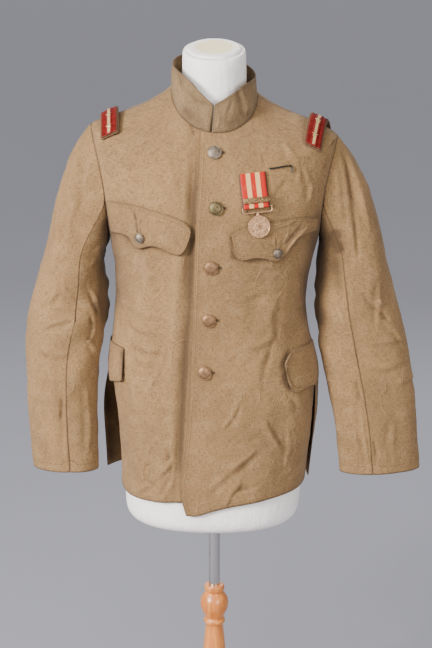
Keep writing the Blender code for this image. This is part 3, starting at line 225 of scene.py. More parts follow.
class Graph:
    """The nodes of one material, which ends in a Principled shader."""

    def __init__(self, name: str) -> None:
        """Start a material with an empty Principled shader."""
        self.material = bpy.data.materials.new(name)
        self.material.use_nodes = True
        self.tree = self.material.node_tree
        self.shader = self.tree.nodes["Principled BSDF"]

    def node(self, kind: str, settings: Optional[dict] = None, inputs: Optional[dict] = None,
             output: object = 0) -> Value:
        """Add any node.

        Args:
            kind: the node's type.
            settings: its own settings, set first.
            inputs: values or links, by the socket's name or number.
            output: the socket that is wanted, by name or number.

        Returns:
            That socket as a Value.
        """
        node = self.tree.nodes.new(kind)
        for name, setting in (settings or {}).items():
            setattr(node, name, setting)
        for key, value in (inputs or {}).items():
            self.feed(node.inputs[key], value)
        return Value(self, node.outputs[output])

    def feed(self, socket: bpy.types.NodeSocket, value: object) -> None:
        """Link a Value to a socket, or set the socket's own number or colour."""
        if isinstance(value, Value):
            self.tree.links.new(value.socket, socket)
        elif isinstance(value, tuple) and len(value) == 3 and len(socket.default_value) == 4:
            socket.default_value = (*value, 1.0)
        else:
            socket.default_value = value

    def shade(self, **inputs: object) -> bpy.types.Material:
        """Set sockets of the Principled shader, whose names have _ for a space."""
        for name, value in inputs.items():
            self.feed(self.shader.inputs[name.replace("_", " ")], value)
        return self.material

    def place(self) -> Value:
        """The Object coordinates, in metres."""
        return self.node("ShaderNodeTexCoord", output="Object")

    def cloth_place(self) -> Value:
        """The piece's own UV map, in metres."""
        return self.node("ShaderNodeUVMap", {"uv_map": CLOTH_MAP})

    def attribute(self, name: str) -> Value:
        """A number that the piece carries at each vertex."""
        return self.node("ShaderNodeAttribute", {"attribute_name": name}, output="Fac")

    def split(self, vector: Value) -> Tuple[Value, Value, Value]:
        """The three parts of a vector."""
        first = self.node("ShaderNodeSeparateXYZ", inputs={0: vector})
        outputs = first.socket.node.outputs
        return first, Value(self, outputs[1]), Value(self, outputs[2])

    def stretch(self, vector: Value, scale: Tuple[float, float, float]) -> Value:
        """A vector whose parts are multiplied."""
        return self.node("ShaderNodeVectorMath", {"operation": "MULTIPLY"}, {0: vector, 1: scale})

    def speckle(self, vector: Value, scale: float, detail: float = 2.0, rough: float = 0.5) -> Value:
        """Noise from 0 to 1 on a vector in metres."""
        return self.node("ShaderNodeTexNoise",
                         inputs={"Vector": vector, "Scale": scale, "Detail": detail, "Roughness": rough})

    def blend(self, share: object, first: object, second: object) -> Value:
        """Mix two colours by a share of the second."""
        return self.node("ShaderNodeMix", {"data_type": "RGBA"}, {0: share, 6: first, 7: second}, output=2)

    def bump(self, height: Value, strength: float = 1.0) -> Value:
        """A Bump node for a height in millimetres."""
        return self.node("ShaderNodeBump", inputs={"Height": height, "Distance": MILLI, "Strength": strength})


# ---- Finishes


@dataclass(frozen=True)
class ClothFinish:
    """Faded plain-woven cotton with uneven threads, stitching and wear, and painted shade in its crease
    hollows and along given lines.
    """

    name: str
    lit: Colour = (0.290, 0.167, 0.067)
    dull: Colour = (0.214, 0.122, 0.049)
    deep: Colour = (0.055, 0.029, 0.012)
    pale: Colour = (0.372, 0.235, 0.115)
    pitch: float = 1.3 * MILLI
    stitch_length: float = 3.0 * MILLI
    stitch_rows: Tuple[float, ...] = (3.2 * MILLI,)
    pale_thread: bool = False

    @staticmethod
    def wrinkle(graph: Graph, place: Value, scale: float, half: float, spread: float) -> Value:
        """Thin branching ridges, left over in patches where the cloth was once folded.

        Args:
            graph: the material's graph.
            place: the cloth map.
            scale: how close together the ridges run, for each metre.
            half: half a ridge's width, as a share of the noise.
            spread: how close together the patches are, for each metre.

        Returns:
            1 on a ridge and 0 off it.
        """
        line = 1.0 - (graph.speckle(place, scale, 1.0, 0.35) - 0.5).size().step(0.0, half)
        return line * graph.speckle(graph.stretch(place, (1.0, 1.3, 1.0)), spread, 1.0).step(0.48, 0.60)

    def build(self) -> bpy.types.Material:
        """Make the material."""
        graph = Graph(self.name)
        place = graph.cloth_place()
        across, along, _ = graph.split(place)
        turn = 2.0 * math.pi / self.pitch
        weave = (across * turn).wave() * (along * turn).wave()
        warp = graph.speckle(graph.stretch(place, (640.0, 120.0, 1.0)), 1.0, 2.0)
        weft = graph.speckle(graph.stretch(place, (130.0, 760.0, 1.0)), 1.0, 2.0)
        cloud = graph.speckle(place, 9.0, 4.0, 0.6)
        patch = graph.speckle(place, 34.0, 3.0, 0.55)
        grain = graph.speckle(place, 430.0, 2.0, 0.7)
        ridge = self.wrinkle(graph, place, 15.0, 0.020, 8.0)
        small = self.wrinkle(graph, place, 40.0, 0.036, 17.0)
        rise = graph.attribute("rise")
        edge = graph.attribute("edge")
        stitch = graph.attribute("stitch")
        run = graph.attribute("run")
        colour = graph.blend(cloud.step(0.30, 0.72), self.dull, self.lit)
        colour = graph.blend(patch.step(0.45, 0.75) * 0.30, colour, self.pale)
        colour = graph.blend(warp.step(0.48, 0.72) * 0.44, colour, self.deep)
        colour = graph.blend(weft.step(0.48, 0.72) * 0.38, colour, self.deep)
        colour = graph.blend(weft.step(0.50, 0.28) * 0.22, colour, self.pale)
        colour = graph.blend(grain.step(0.50, 0.72) * 0.50, colour, self.deep)
        colour = graph.blend(grain.step(0.46, 0.26) * 0.28, colour, self.pale)
        colour = graph.blend(ridge * 0.22 + small * 0.12, colour, self.pale)
        # Painted shade in the crease hollows, and paler crease ridges, partly painted highlight and partly
        # faded cloth.
        colour = graph.blend((rise * -1.0).step(0.6, 4.0) * 0.34, colour, self.deep)
        colour = graph.blend(rise.step(0.8, 4.5) * 0.30, colour, self.pale)
        # painted shade along each piece's listed lines, where shadow falls beside, under and between the
        # pieces
        colour = graph.blend(graph.attribute("painted_shade") * 0.80, colour, self.deep)
        colour = graph.blend(edge.step(2.2 * MILLI, 0.3 * MILLI) * 0.55, colour, self.deep)
        dash = (run * (1.0 / self.stitch_length)).part().band(0.5, 0.30, 0.12)
        line = None
        for row in self.stitch_rows:
            mark = stitch.band(row, 0.35 * MILLI, 0.55 * MILLI)
            line = mark if line is None else line + mark
        colour = graph.blend(line * 0.60, colour, self.deep)
        colour = graph.blend(line * dash * 0.55, colour, self.pale if self.pale_thread else self.lit)
        height = weave * 0.05 + (warp - 0.5) * 0.30 + (weft - 0.5) * 0.42 + (patch - 0.5) * 0.5
        height = height + ridge * 0.60 + small * 0.30 + (grain - 0.5) * 0.30
        height = height - line * 0.55 + line * dash * 0.45
        rough = 0.86 + (cloud - 0.5) * 0.12
        return graph.shade(Base_Color=colour, Roughness=rough, Sheen_Weight=0.06, Sheen_Roughness=0.6,
                           Specular_IOR_Level=0.25, Normal=graph.bump(height, 0.9))


@dataclass(frozen=True)
class MetalFinish:
    """Metal with tarnish in its hollows, small scratches and worn high places."""

    name: str
    bright: Colour
    tarnish: Colour
    rough: float = 0.38
    spread: float = 160.0
    metallic: float = 0.85

    def build(self) -> bpy.types.Material:
        """Make the material."""
        graph = Graph(self.name)
        place = graph.place()
        spots = graph.speckle(place, self.spread, 4.0, 0.65)
        fine = graph.speckle(place, self.spread * 7.0, 2.0)
        scratch = graph.speckle(graph.stretch(place, (2600.0, 300.0, 900.0)), 1.0, 1.0)
        colour = graph.blend(spots.step(0.34, 0.66), self.tarnish, self.bright)
        colour = graph.blend(scratch.step(0.62, 0.80) * 0.35, colour, self.bright)
        rough = self.rough + (1.0 - spots) * 0.28 + (fine - 0.5) * 0.12
        height = (spots - 0.5) * 0.10 + (fine - 0.5) * 0.05
        return graph.shade(Base_Color=colour, Roughness=rough, Metallic=self.metallic,
                           Normal=graph.bump(height))


@dataclass(frozen=True)
class FeltFinish:
    """Board felt: a red middle with thin pale cords at its long edges."""

    name: str
    field: Colour
    cord: Colour
    cord_width: float = 0.8 * MILLI

    def build(self) -> bpy.types.Material:
        """Make the material."""
        graph = Graph(self.name)
        place = graph.cloth_place()
        across, along, _ = graph.split(place)
        fluff = graph.speckle(place, 1500.0, 3.0, 0.7)
        wear = graph.speckle(place, 120.0, 3.0, 0.6)
        twist = ((along * 2400.0) + (across * 1500.0)).wave()
        dark = tuple(0.45 * part for part in self.field)
        colour = graph.blend(wear.step(0.30, 0.75) * 0.8, dark, self.field)
        colour = graph.blend(fluff.step(0.40, 0.80) * 0.35, colour, self.field)
        rim = graph.attribute("edge").step(self.cord_width + 0.0004, self.cord_width)
        cord = graph.blend(twist.step(-0.6, 0.6) * 0.5, self.cord, tuple(0.6 * part for part in self.cord))
        colour = graph.blend(rim, colour, cord)
        height = (fluff - 0.5) * 0.25 + rim * (0.25 + twist * 0.12)
        return graph.shade(Base_Color=colour, Roughness=0.92, Sheen_Weight=0.04, Sheen_Roughness=0.5,
                           Specular_IOR_Level=0.1, Normal=graph.bump(height))


@dataclass(frozen=True)
class LaceFinish:
    """Flat woven lace of cream silk and dull gold thread, with a herring-bone rib."""

    name: str
    silk: Colour = (0.54, 0.37, 0.195)
    gold: Colour = (0.46, 0.31, 0.13)
    ground: Colour = (0.185, 0.010, 0.008)
    rib: float = 1.5 * MILLI

    def build(self) -> bpy.types.Material:
        """Make the material."""
        graph = Graph(self.name)
        place = graph.cloth_place()
        across, along, _ = graph.split(place)
        turn = 2.0 * math.pi / self.rib
        bone = (along * turn + across.size() * (turn * 0.9)).wave()
        thread = (across * (turn * 2.7)).wave()
        wear = graph.speckle(place, 170.0, 4.0, 0.6)
        colour = graph.blend(bone.step(-0.3, 0.7), self.gold, self.silk)
        colour = graph.blend(wear.step(0.52, 0.72) * 0.55, colour, (0.16, 0.09, 0.05))
        colour = graph.blend(graph.attribute("edge").step(2.6 * MILLI, 2.2 * MILLI), colour, self.ground)
        height = bone * 0.16 + thread * 0.05
        return graph.shade(Base_Color=colour, Roughness=0.62, Specular_IOR_Level=0.2,
                           Normal=graph.bump(height))


@dataclass(frozen=True)
class RibbonFinish:
    """Ribbed silk ribbon with even stripes along it; stops are shares of its half-width."""

    name: str
    half_width: float
    red: Colour = (0.44, 0.014, 0.005)
    cream: Colour = (0.66, 0.39, 0.165)
    # the dark edge stripes are partly the ribbon's own edge colour and partly painted shade
    edge: Colour = (0.070, 0.036, 0.024)
    red_inner: float = 0.18
    cream_outer: float = 0.52
    red_outer: float = 0.91
    soft: float = 0.03
    rib: float = 0.9 * MILLI

    def build(self) -> bpy.types.Material:
        """Make the material."""
        graph = Graph(self.name)
        place = graph.cloth_place()
        across, along, _ = graph.split(place)
        share = across.size() * (1.0 / self.half_width)
        rib = (along * (2.0 * math.pi / self.rib)).wave()
        moire = graph.speckle(graph.stretch(place, (260.0, 70.0, 1.0)), 1.0, 3.0)
        stain = graph.speckle(place, 95.0, 3.0)
        colour: object = self.red
        for stop, beyond in ((self.red_inner, self.cream), (self.cream_outer, self.red),
                             (self.red_outer, self.edge)):
            colour = graph.blend(share.step(stop - self.soft, stop + self.soft), colour, beyond)
        colour = graph.blend(moire.step(0.5, 0.8) * 0.16, colour, (0.85, 0.32, 0.16))
        colour = graph.blend(stain.step(0.56, 0.76) * 0.30, colour, (0.25, 0.07, 0.05))
        height = rib * 0.05 + (moire - 0.5) * 0.10
        rough = 0.46 + (moire - 0.5) * 0.2
        return graph.shade(Base_Color=colour, Roughness=rough, Sheen_Weight=0.05, Specular_IOR_Level=0.2,
                           Normal=graph.bump(height))


@dataclass(frozen=True)
class PlasterFinish:
    """A hand-coated form: a chalky white skin with soft dents and small stains.

    rim holds the distances from the upright axis between which rim_white takes over, if it does.
    """

    name: str
    white: Colour = (0.93, 0.895, 0.87)
    stain: Colour = (0.66, 0.60, 0.54)
    rough: float = 0.62
    rim: Tuple[float, float] = (0.0, 0.0)
    rim_white: Colour = (0.93, 0.895, 0.87)

    def build(self) -> bpy.types.Material:
        """Make the material."""
        graph = Graph(self.name)
        place = graph.place()
        dents = graph.speckle(place, 26.0, 4.0, 0.55)
        grain = graph.speckle(place, 900.0, 2.0)
        marks = graph.speckle(place, 70.0, 5.0, 0.7)
        brush = graph.speckle(graph.stretch(place, (90.0, 90.0, 13.0)), 1.0, 3.0, 0.6)
        colour = graph.blend(marks.step(0.60, 0.80) * 0.45, self.white, self.stain)
        colour = graph.blend((1.0 - dents).step(0.52, 0.80) * 0.22, colour, self.stain)
        colour = graph.blend(brush.step(0.58, 0.78) * 0.18, colour, self.stain)
        if self.rim[1] > 0.0:
            across, deep, _ = graph.split(place)
            far = across * across + deep * deep
            colour = graph.blend(far.step(self.rim[0] ** 2, self.rim[1] ** 2), colour, self.rim_white)
        height = (dents - 0.5) * 3.0 + (marks - 0.5) * 0.7 + (brush - 0.5) * 1.1 + (grain - 0.5) * 0.07
        rough = self.rough + (marks - 0.5) * 0.25
        return graph.shade(Base_Color=colour, Roughness=rough, Normal=graph.bump(height))


@dataclass(frozen=True)
class WoodFinish:
    """Varnished beech with its short flecks and long grain up the post."""

    name: str
    light: Colour = (0.70, 0.255, 0.048)
    dark: Colour = (0.46, 0.125, 0.018)
    fleck: Colour = (0.36, 0.14, 0.05)

    def build(self) -> bpy.types.Material:
        """Make the material."""
        graph = Graph(self.name)
        place = graph.place()
        grain = graph.speckle(graph.stretch(place, (130.0, 130.0, 7.0)), 1.0, 5.0, 0.6)
        flecks = graph.speckle(graph.stretch(place, (1100.0, 1100.0, 150.0)), 1.0, 1.0)
        cloud = graph.speckle(place, 14.0, 2.0)
        colour = graph.blend(grain.step(0.30, 0.72), self.dark, self.light)
        colour = graph.blend(flecks.step(0.62, 0.74) * 0.5, colour, self.fleck)
        colour = graph.blend(cloud.step(0.4, 0.8) * 0.2, colour, self.light)
        height = (grain - 0.5) * 0.10 - flecks.step(0.62, 0.74) * 0.06
        rough = 0.34 + (grain - 0.5) * 0.16
        return graph.shade(Base_Color=colour, Roughness=rough, Coat_Weight=0.35, Coat_Roughness=0.22,
                           Normal=graph.bump(height))


@dataclass(frozen=True)
class ChromeFinish:
    """Plated tube with faint lengthwise scuffs and dull patches."""

    name: str
    plate: Colour = (0.62, 0.60, 0.57)

    def build(self) -> bpy.types.Material:
        """Make the material."""
        graph = Graph(self.name)
        place = graph.place()
        scuff = graph.speckle(graph.stretch(place, (900.0, 900.0, 22.0)), 1.0, 3.0)
        dull = graph.speckle(place, 45.0, 3.0)
        colour = graph.blend(dull.step(0.55, 0.80) * 0.4, self.plate, (0.30, 0.28, 0.26))
        rough = 0.06 + scuff * 0.12 + dull.step(0.5, 0.8) * 0.2
        return graph.shade(Base_Color=colour, Roughness=rough, Metallic=1.0,
                           Normal=graph.bump(scuff * 0.02))


@dataclass(frozen=True)
class PaintFinish:
    """Dark lacquer on a thin wire, worn at its high places."""

    name: str
    paint: Colour = (0.014, 0.013, 0.012)
    bare: Colour = (0.16, 0.13, 0.10)

    def build(self) -> bpy.types.Material:
        """Make the material."""
        graph = Graph(self.name)
        wear = graph.speckle(graph.place(), 420.0, 3.0, 0.6)
        colour = graph.blend(wear.step(0.58, 0.74), self.paint, self.bare)
        return graph.shade(Base_Color=colour, Roughness=0.42 + (wear - 0.5) * 0.3, Metallic=0.3,
                           Normal=graph.bump(wear * 0.05))


@dataclass(frozen=True)
class FloorFinish:
    """A plain pale floor."""

    name: str = "floor_plain"
    pale: Colour = (0.252, 0.253, 0.292)

    def build(self) -> bpy.types.Material:
        """Make the material."""
        graph = Graph(self.name)
        cloud = graph.speckle(graph.place(), 1.4, 2.0)
        shade = tuple(0.86 * part for part in self.pale)
        colour = graph.blend(cloud.step(0.2, 0.8) * 0.12, self.pale, shade)
        return graph.shade(Base_Color=colour, Roughness=0.9)


# ---- Creases


def smooth(share: np.ndarray) -> np.ndarray:
    """A soft step from 0 at 0 to 1 at 1."""
    held = np.clip(share, 0.0, 1.0)
    return held * held * (3.0 - 2.0 * held)


@dataclass(frozen=True)
class Crease:
    """One crease: a line, its half-width and how far it stands out, both in millimetres.

    A ridge has a hollow beside it, on the left of the line's direction, of that share of its
    rise; a negative rise is a groove with a lip beside it.
    """

    line: Tuple[Point2, ...]
    width: float
    rise: float
    hollow: float = 0.45

    def height(self, off: np.ndarray, share: np.ndarray, number: int) -> np.ndarray:
        """How far the crease stands out at some places.

        Args:
            off: the distance from its line in metres, negative on the right.
            share: how far along the line, from 0 to 1.
            number: its place in its table, which makes it uneven in its own way.

        Returns:
            The heights in metres.
        """
        uneven = 1.0 + 0.28 * np.sin(9.0 * share + 2.1 * number) + 0.15 * np.sin(23.0 * share + number)
        swell = 0.72 + 0.56 * np.sin(math.pi * np.clip(share, 0.02, 0.98))
        width = SHARPNESS * self.width * MILLI * swell
        ends = 0.12 + 0.88 * smooth(np.minimum(share, 1.0 - share) / 0.22)
        past = np.where((share <= 0.0) | (share >= 1.0), 0.25, 1.0)
        hollow = self.hollow * np.exp(-(((off - 1.9 * width) / (1.2 * width)) ** 2))
        return self.rise * MILLI * (np.exp(-((off / width) ** 2)) - hollow) * uneven * ends * past


@dataclass(frozen=True)
class Calm:
    """A place where the cloth stays as it is, because something lies on it."""

    middle: Point2
    reach: Point2

    def share(self, pixels: np.ndarray) -> np.ndarray:
        """How much of a rise the place takes away: all in its middle, and none well past its reach."""
        off = (pixels - np.array(self.middle)) / np.array(self.reach)
        return np.exp(-((off ** 2).sum(axis=1)) ** 2)


def beside_line(line: np.ndarray, places: np.ndarray) -> Tuple[np.ndarray, np.ndarray]:
    """How places lie to a line.

    Args:
        line: the line's points.
        places: an (N, 2) array.

    Returns:
        The distance from the line, negative on its right, and the share of the line gone there.
    """
    pieces = np.linalg.norm(np.diff(line, axis=0), axis=1)
    best = np.full(len(places), FAR)
    side = np.zeros(len(places))
    share = np.zeros(len(places))
    gone = 0.0
    for start, end, length in zip(line, line[1:], pieces):
        run = (end - start) / length
        off = places - start
        ahead = np.clip(off @ run, 0.0, length)
        distance = np.linalg.norm(off - ahead[:, None] * run, axis=1)
        nearer = distance < best
        best = np.where(nearer, distance, best)
        side = np.where(nearer, np.sign(run[0] * off[:, 1] - run[1] * off[:, 0]), side)
        share = np.where(nearer, (gone + ahead) / pieces.sum(), share)
        gone += length
    return best * side, share


def crease_rise(places: np.ndarray, creases: Sequence[Crease], unit: float) -> np.ndarray:
    """How far a set of creases moves the cloth out.

    Args:
        places: an (N, 2) array in the creases' own units.
        creases: the creases.
        unit: one unit in metres.

    Returns:
        An array of N heights in metres.
    """
    total = np.zeros(len(places))
    for number, crease in enumerate(creases):
        off, share = beside_line(np.array(crease.line, float), places)
        total += crease.height(off * unit, share, number)
    return total * BOLDNESS


RUMPLE_SIZES = ((0.0, 0.042, 2.0), (5.0, 0.015, 0.8))     # shift of the seed, metres, share of height


def rumple(points: np.ndarray, seed: float, size: float, height: float) -> np.ndarray:
    """Small uneven rises of the cloth.

    Args:
        points: an (N, 3) array in metres.
        seed: a shift that gives each piece its own rumples.
        size: their usual distance in metres.
        height: their usual height in metres.

    Returns:
        An array of N heights in metres.
    """
    shift = Vector((seed * 3.7, seed * 1.3, seed * 2.9))
    values = [noise.fractal(Vector(p) / size + shift, 0.9, 2.1, 3) for p in points]
    return np.array(values) * height


# ---- Cloth shells


class Wrap(Enum):
    """How a piece's cloth runs, for its UV map and its hidden creases."""

    BODY = "round the body"
    SLEEVE_LEFT = "round the left sleeve"
    SLEEVE_RIGHT = "round the right sleeve"
    STRIP = "along a strip"


class Stitching(Enum):
    """Which edges of a piece show a row of stitches."""

    ALL = "all edges"
    FRONT_EDGE = "front edge and hem"
    HEM = "hem"
    CUFF = "cuff"
    NONE = "none"


@dataclass(frozen=True)
class Shell:
    """A cloth piece: its node, how fine it gets, its thickness and its cut.

    flat is the cut's width and length in metres. ripple is the usual height of the small
    rumples, soft_edge how far from its edges they fade, deepest how far in they may go, and drop
    how much further down its low edge reaches, so that no light falls through the seam.
    seen_inside says that its inner face shows from the front, and takes painted shade too.
    """

    node: str
    wrap: Wrap
    flat: Point2
    stitching: Stitching = Stitching.NONE
    levels: int = 3
    thickness: float = 1.3 * MILLI
    ripple: float = 0.55 * MILLI
    drop: float = 0.0
    held: str = "hung"
    rests_on: str = "form_torso"
    slot: str = "jacket_cloth"
    soft_edge: float = 7.0 * MILLI
    deepest: float = 3.4 * MILLI
    highest: float = 8.5 * MILLI
    calm: Tuple[Calm, ...] = ()
    painted_shade: Tuple[Crease, ...] = ()
    seen_inside: bool = False

    def out_of(self, place: Vector) -> Vector:
        """The way that is outwards at a place."""
        if self.wrap in SLEEVE_LINES:
            spine = SLEEVE_LINES[self.wrap].middle(np.array([place.z]))[0]
            return Vector((place.x - spine[0], place.y - spine[1], 0.0)).normalized()
        if self.wrap is Wrap.BODY:
            return Vector((place.x, place.y, 0.0)).normalized()
        return Vector((0.3 * place.x, place.y, 0.5)).normalized()

    def map_of(self, points: np.ndarray) -> np.ndarray:
        """Where the piece's points lie on its flat cloth, in metres."""
        if self.wrap is Wrap.STRIP:
            return strip_places(points)
        out = self.out_of(Vector(points.mean(axis=0)))
        return cloth_places(points, self.wrap, math.atan2(out.y, out.x))

    def rumples(self, points: np.ndarray) -> np.ndarray:
        """The rise of the piece's own small rumples, wide ones and narrow ones."""
        rise = np.zeros(len(points))
        if self.ripple:
            seed = float(sum(map(ord, self.node)) % 17)
            for shift, size, share in RUMPLE_SIZES:
                rise += rumple(points, seed + shift, size, share * self.ripple)
        return rise


SAME_WALL = 0.1          # neighbours whose normals agree by more than this are on one side of the cloth
FAIR_FOUR = 70.0         # how far from flat and square a joined face may be, in degrees


def wall_islands(bm: bmesh.types.BMesh, thickness: float) -> List[List[bmesh.types.BMFace]]:
    """The two big faces of a slab, as islands of triangles, the biggest first."""
    tree = BVHTree.FromBMesh(bm)
    walls = set()
    for face in bm.faces:
        middle = face.calc_center_median() - face.normal * ON_EDGE
        if tree.ray_cast(middle, -face.normal, thickness)[0] is not None:
            walls.add(face)
    islands = []
    seen = set()
    for first in walls:
        if first in seen:
            continue
        island, waiting = [], [first]
        seen.add(first)
        while waiting:
            face = waiting.pop()
            island.append(face)
            for edge in face.edges:
                for other in edge.link_faces:
                    same = face.normal.dot(other.normal) > SAME_WALL
                    if same and other in walls and other not in seen:
                        seen.add(other)
                        waiting.append(other)
        islands.append(island)
    islands.sort(key=len, reverse=True)
    return islands


def merged_copy(node: bpy.types.Object) -> bmesh.types.BMesh:
    """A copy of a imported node's mesh, with its loose triangles joined."""
    bm = bmesh.new()
    bm.from_mesh(node.data)
    bmesh.ops.remove_doubles(bm, verts=bm.verts, dist=2.0 * ON_EDGE)
    bm.normal_update()
    return bm


def into_quads(bm: bmesh.types.BMesh) -> None:
    """Join pairs of triangles where they make a fair four-sided face."""
    limit = math.radians(FAIR_FOUR)
    bmesh.ops.join_triangles(bm, faces=bm.faces, angle_face_threshold=limit, angle_shape_threshold=limit)


def place_mesh(name: str, mesh: bpy.types.Mesh, material: bpy.types.Material) -> bpy.types.Object:
    """Put a smooth mesh of one material into the scene."""
    mesh.name = name
    mesh.materials.clear()
    mesh.materials.append(material)
    mesh.shade_smooth()
    piece = bpy.data.objects.new(name, mesh)
    bpy.context.scene.collection.objects.link(piece)
    return piece


def mesh_of(name: str, bm: bmesh.types.BMesh) -> bpy.types.Mesh:
    """Turn a bmesh into a mesh, and free it."""
    mesh = bpy.data.meshes.new(name)
    bm.to_mesh(mesh)
    bm.free()
    return mesh


def add_piece(name: str, bm: bmesh.types.BMesh, material: bpy.types.Material,
              sharp: float = 40.0) -> bpy.types.Object:
    """Turn a bmesh into an object of the scene, smooth but for edges sharper than some degrees."""
    piece = place_mesh(name, mesh_of(name, bm), material)
    piece.data.set_sharp_from_angle(angle=math.radians(sharp))
    return piece


def refined(mesh: bpy.types.Mesh, levels: int) -> bpy.types.Mesh:
    """A finer, smoother mesh, whose open corners stay where they are."""
    piece = bpy.data.objects.new("refining", mesh)
    bpy.context.scene.collection.objects.link(piece)
    finer = piece.modifiers.new("finer", "SUBSURF")
    finer.levels = levels
    finer.render_levels = levels
    finer.boundary_smooth = "PRESERVE_CORNERS"
    graph = bpy.context.evaluated_depsgraph_get()
    result = bpy.data.meshes.new_from_object(piece.evaluated_get(graph))
    bpy.data.objects.remove(piece)
    return result


@dataclass
class SleeveLine:
    """The middle line of a sleeve, by height: rows of height, across and along, in metres."""

    rows: Tuple[Tuple[float, float, float], ...]

    def middle(self, heights: np.ndarray) -> np.ndarray:
        """The line's points at some heights."""
        table = np.array(sorted(self.rows))
        across = np.interp(heights, table[:, 0], table[:, 1])
        along = np.interp(heights, table[:, 0], table[:, 2])
        return np.stack([across, along], axis=1)


SLEEVE_LINES: Dict[Wrap, SleeveLine] = {
    Wrap.SLEEVE_LEFT: SleeveLine(((1.12, 0.20, 0.0), (0.905, 0.2215, 0.003), (0.807, 0.2355, -0.008),
                                  (0.751, 0.246, -0.015), (0.683, 0.259, -0.022), (0.564, 0.2725, -0.031))),
    Wrap.SLEEVE_RIGHT: SleeveLine(((1.12, -0.20, 0.0), (0.905, -0.227, 0.003), (0.81, -0.2387, -0.008),
                                   (0.74, -0.2475, -0.016), (0.66, -0.248, -0.024), (0.568, -0.244, -0.032))),
}
BODY_ROUND = 0.150            # metres of cloth for each radian round the body
SLEEVE_ROUND = 0.060          # and round a sleeve
HEM_TOP = 0.56                # the hem's open edge lies below this height, in metres
CUFF_TOP = 0.578              # and the cuffs' below this
LAP_TOP = 1.10                # the fronts' open edges end below this
LAP_REACH = 0.07              # and lie no further from the middle than this


def cloth_places(points: np.ndarray, wrap: Wrap, middle_angle: float) -> np.ndarray:
    """Where points lie on the flat cloth, in metres.

    Args:
        points: an (N, 3) array.
        wrap: how the cloth runs.
        middle_angle: the angle of the piece's middle, so that no seam of the map crosses it.

    Returns:
        An (N, 2) array: round the body or the sleeve, and up.
    """
    if wrap is Wrap.BODY:
        centre = np.zeros((len(points), 2))
        radius = BODY_ROUND
    else:
        centre = SLEEVE_LINES[wrap].middle(points[:, 2])
        radius = SLEEVE_ROUND
    angle = np.arctan2(points[:, 1] - centre[:, 1], points[:, 0] - centre[:, 0]) - middle_angle
    angle = (angle + math.pi) % (2.0 * math.pi) - math.pi
    return np.stack([angle * radius, points[:, 2]], axis=1)


def strip_places(points: np.ndarray) -> np.ndarray:
    """Where points of a narrow strip lie across and along it, in metres from its middle."""
    middle = 0.5 * (points.min(axis=0) + points.max(axis=0))
    axes = np.linalg.svd(points - points.mean(axis=0), full_matrices=False)[2]
    along, across = axes[0], axes[1]
    return np.stack([(points - middle) @ across, (points - middle) @ along], axis=1)


def edge_reach(mesh: bpy.types.Mesh, points: np.ndarray,
               chosen: Callable[[np.ndarray], np.ndarray]) -> Tuple[np.ndarray, np.ndarray, np.ndarray]:
    """How far each point is from the open edge.

    Args:
        mesh: an open sheet.
        points: its points.
        chosen: says for the edge's points which of them are stitched.

    Returns:
        The distance to any edge, the distance to a stitched one, and how far along that edge.
    """
    counts: Dict[Tuple[int, int], int] = {}
    for polygon in mesh.polygons:
        for key in polygon.edge_keys:
            counts[key] = counts.get(key, 0) + 1
    links: Dict[int, List[int]] = {}
    for (first, second), count in counts.items():
        if count == 1:
            links.setdefault(first, []).append(second)
            links.setdefault(second, []).append(first)
    along: Dict[int, float] = {}
    for start in sorted(links):
        if start in along:
            continue
        here, gone = start, 0.0
        while here is not None:
            along[here] = gone
            ahead = [other for other in links[here] if other not in along]
            if ahead:
                gone += float(np.linalg.norm(points[ahead[0]] - points[here]))
            here = ahead[0] if ahead else None
    ring = np.array(sorted(along))
    picked = ring[chosen(points[ring])] if len(ring) else ring
    reaches = []
    for group in (ring, picked):
        tree = KDTree(max(len(group), 1))
        for number in group:
            tree.insert(points[number], int(number))
        tree.balance()
        if not len(group):
            reaches.append((np.full(len(points), 1.0), np.zeros(len(points))))
            continue
        found = [tree.find(p) for p in points]
        reaches.append((np.array([f[2] for f in found]), np.array([along[f[1]] for f in found])))
    return reaches[0][0], reaches[1][0], reaches[1][1]


def edge_growth(mesh: bpy.types.Mesh, points: np.ndarray, edge: np.ndarray, reach: float) -> np.ndarray:
    """Find how the rim of a piece moves out along the cloth, so that it meets its neighbour.

    Args:
        mesh: the piece.
        points: its points.
        edge: how far each point is from the rim.
        reach: how far the rim moves.

    Returns:
        The move of each point, none away from the rim.
    """
    ends = np.empty(len(mesh.edges) * 2, dtype=np.int32)
    mesh.edges.foreach_get("vertices", ends)
    ends = ends.reshape(-1, 2)
    rim = edge < ON_EDGE
    out = np.zeros((len(points), 3))
    for near, far in ((0, 1), (1, 0)):
        across = rim[ends[:, near]] & ~rim[ends[:, far]]
        pair = ends[across]
        np.add.at(out, pair[:, near], points[pair[:, near]] - points[pair[:, far]])
    return out / np.maximum(np.linalg.norm(out, axis=1), 1e-9)[:, None] * reach


def is_stitched(stitching: Stitching) -> Callable[[np.ndarray], np.ndarray]:
    """The rule that says which points of an open edge are stitched."""
    def rule(points: np.ndarray) -> np.ndarray:
        """One answer for each point."""
        across, up = points[:, 0], points[:, 2]
        if stitching is Stitching.ALL:
            return np.ones(len(points), bool)
        if stitching is Stitching.FRONT_EDGE:
            return (up < HEM_TOP) | ((np.abs(across) < LAP_REACH) & (up < LAP_TOP))
        if stitching is Stitching.HEM:
            return up < HEM_TOP
        if stitching is Stitching.CUFF:
            return up < CUFF_TOP
        return np.zeros(len(points), bool)
    return rule


def set_numbers(mesh: bpy.types.Mesh, name: str, values: np.ndarray) -> None:
    """Store one number at each vertex."""
    store = mesh.attributes.new(name, "FLOAT", "POINT")
    store.data.foreach_set("value", values.astype(np.float32))


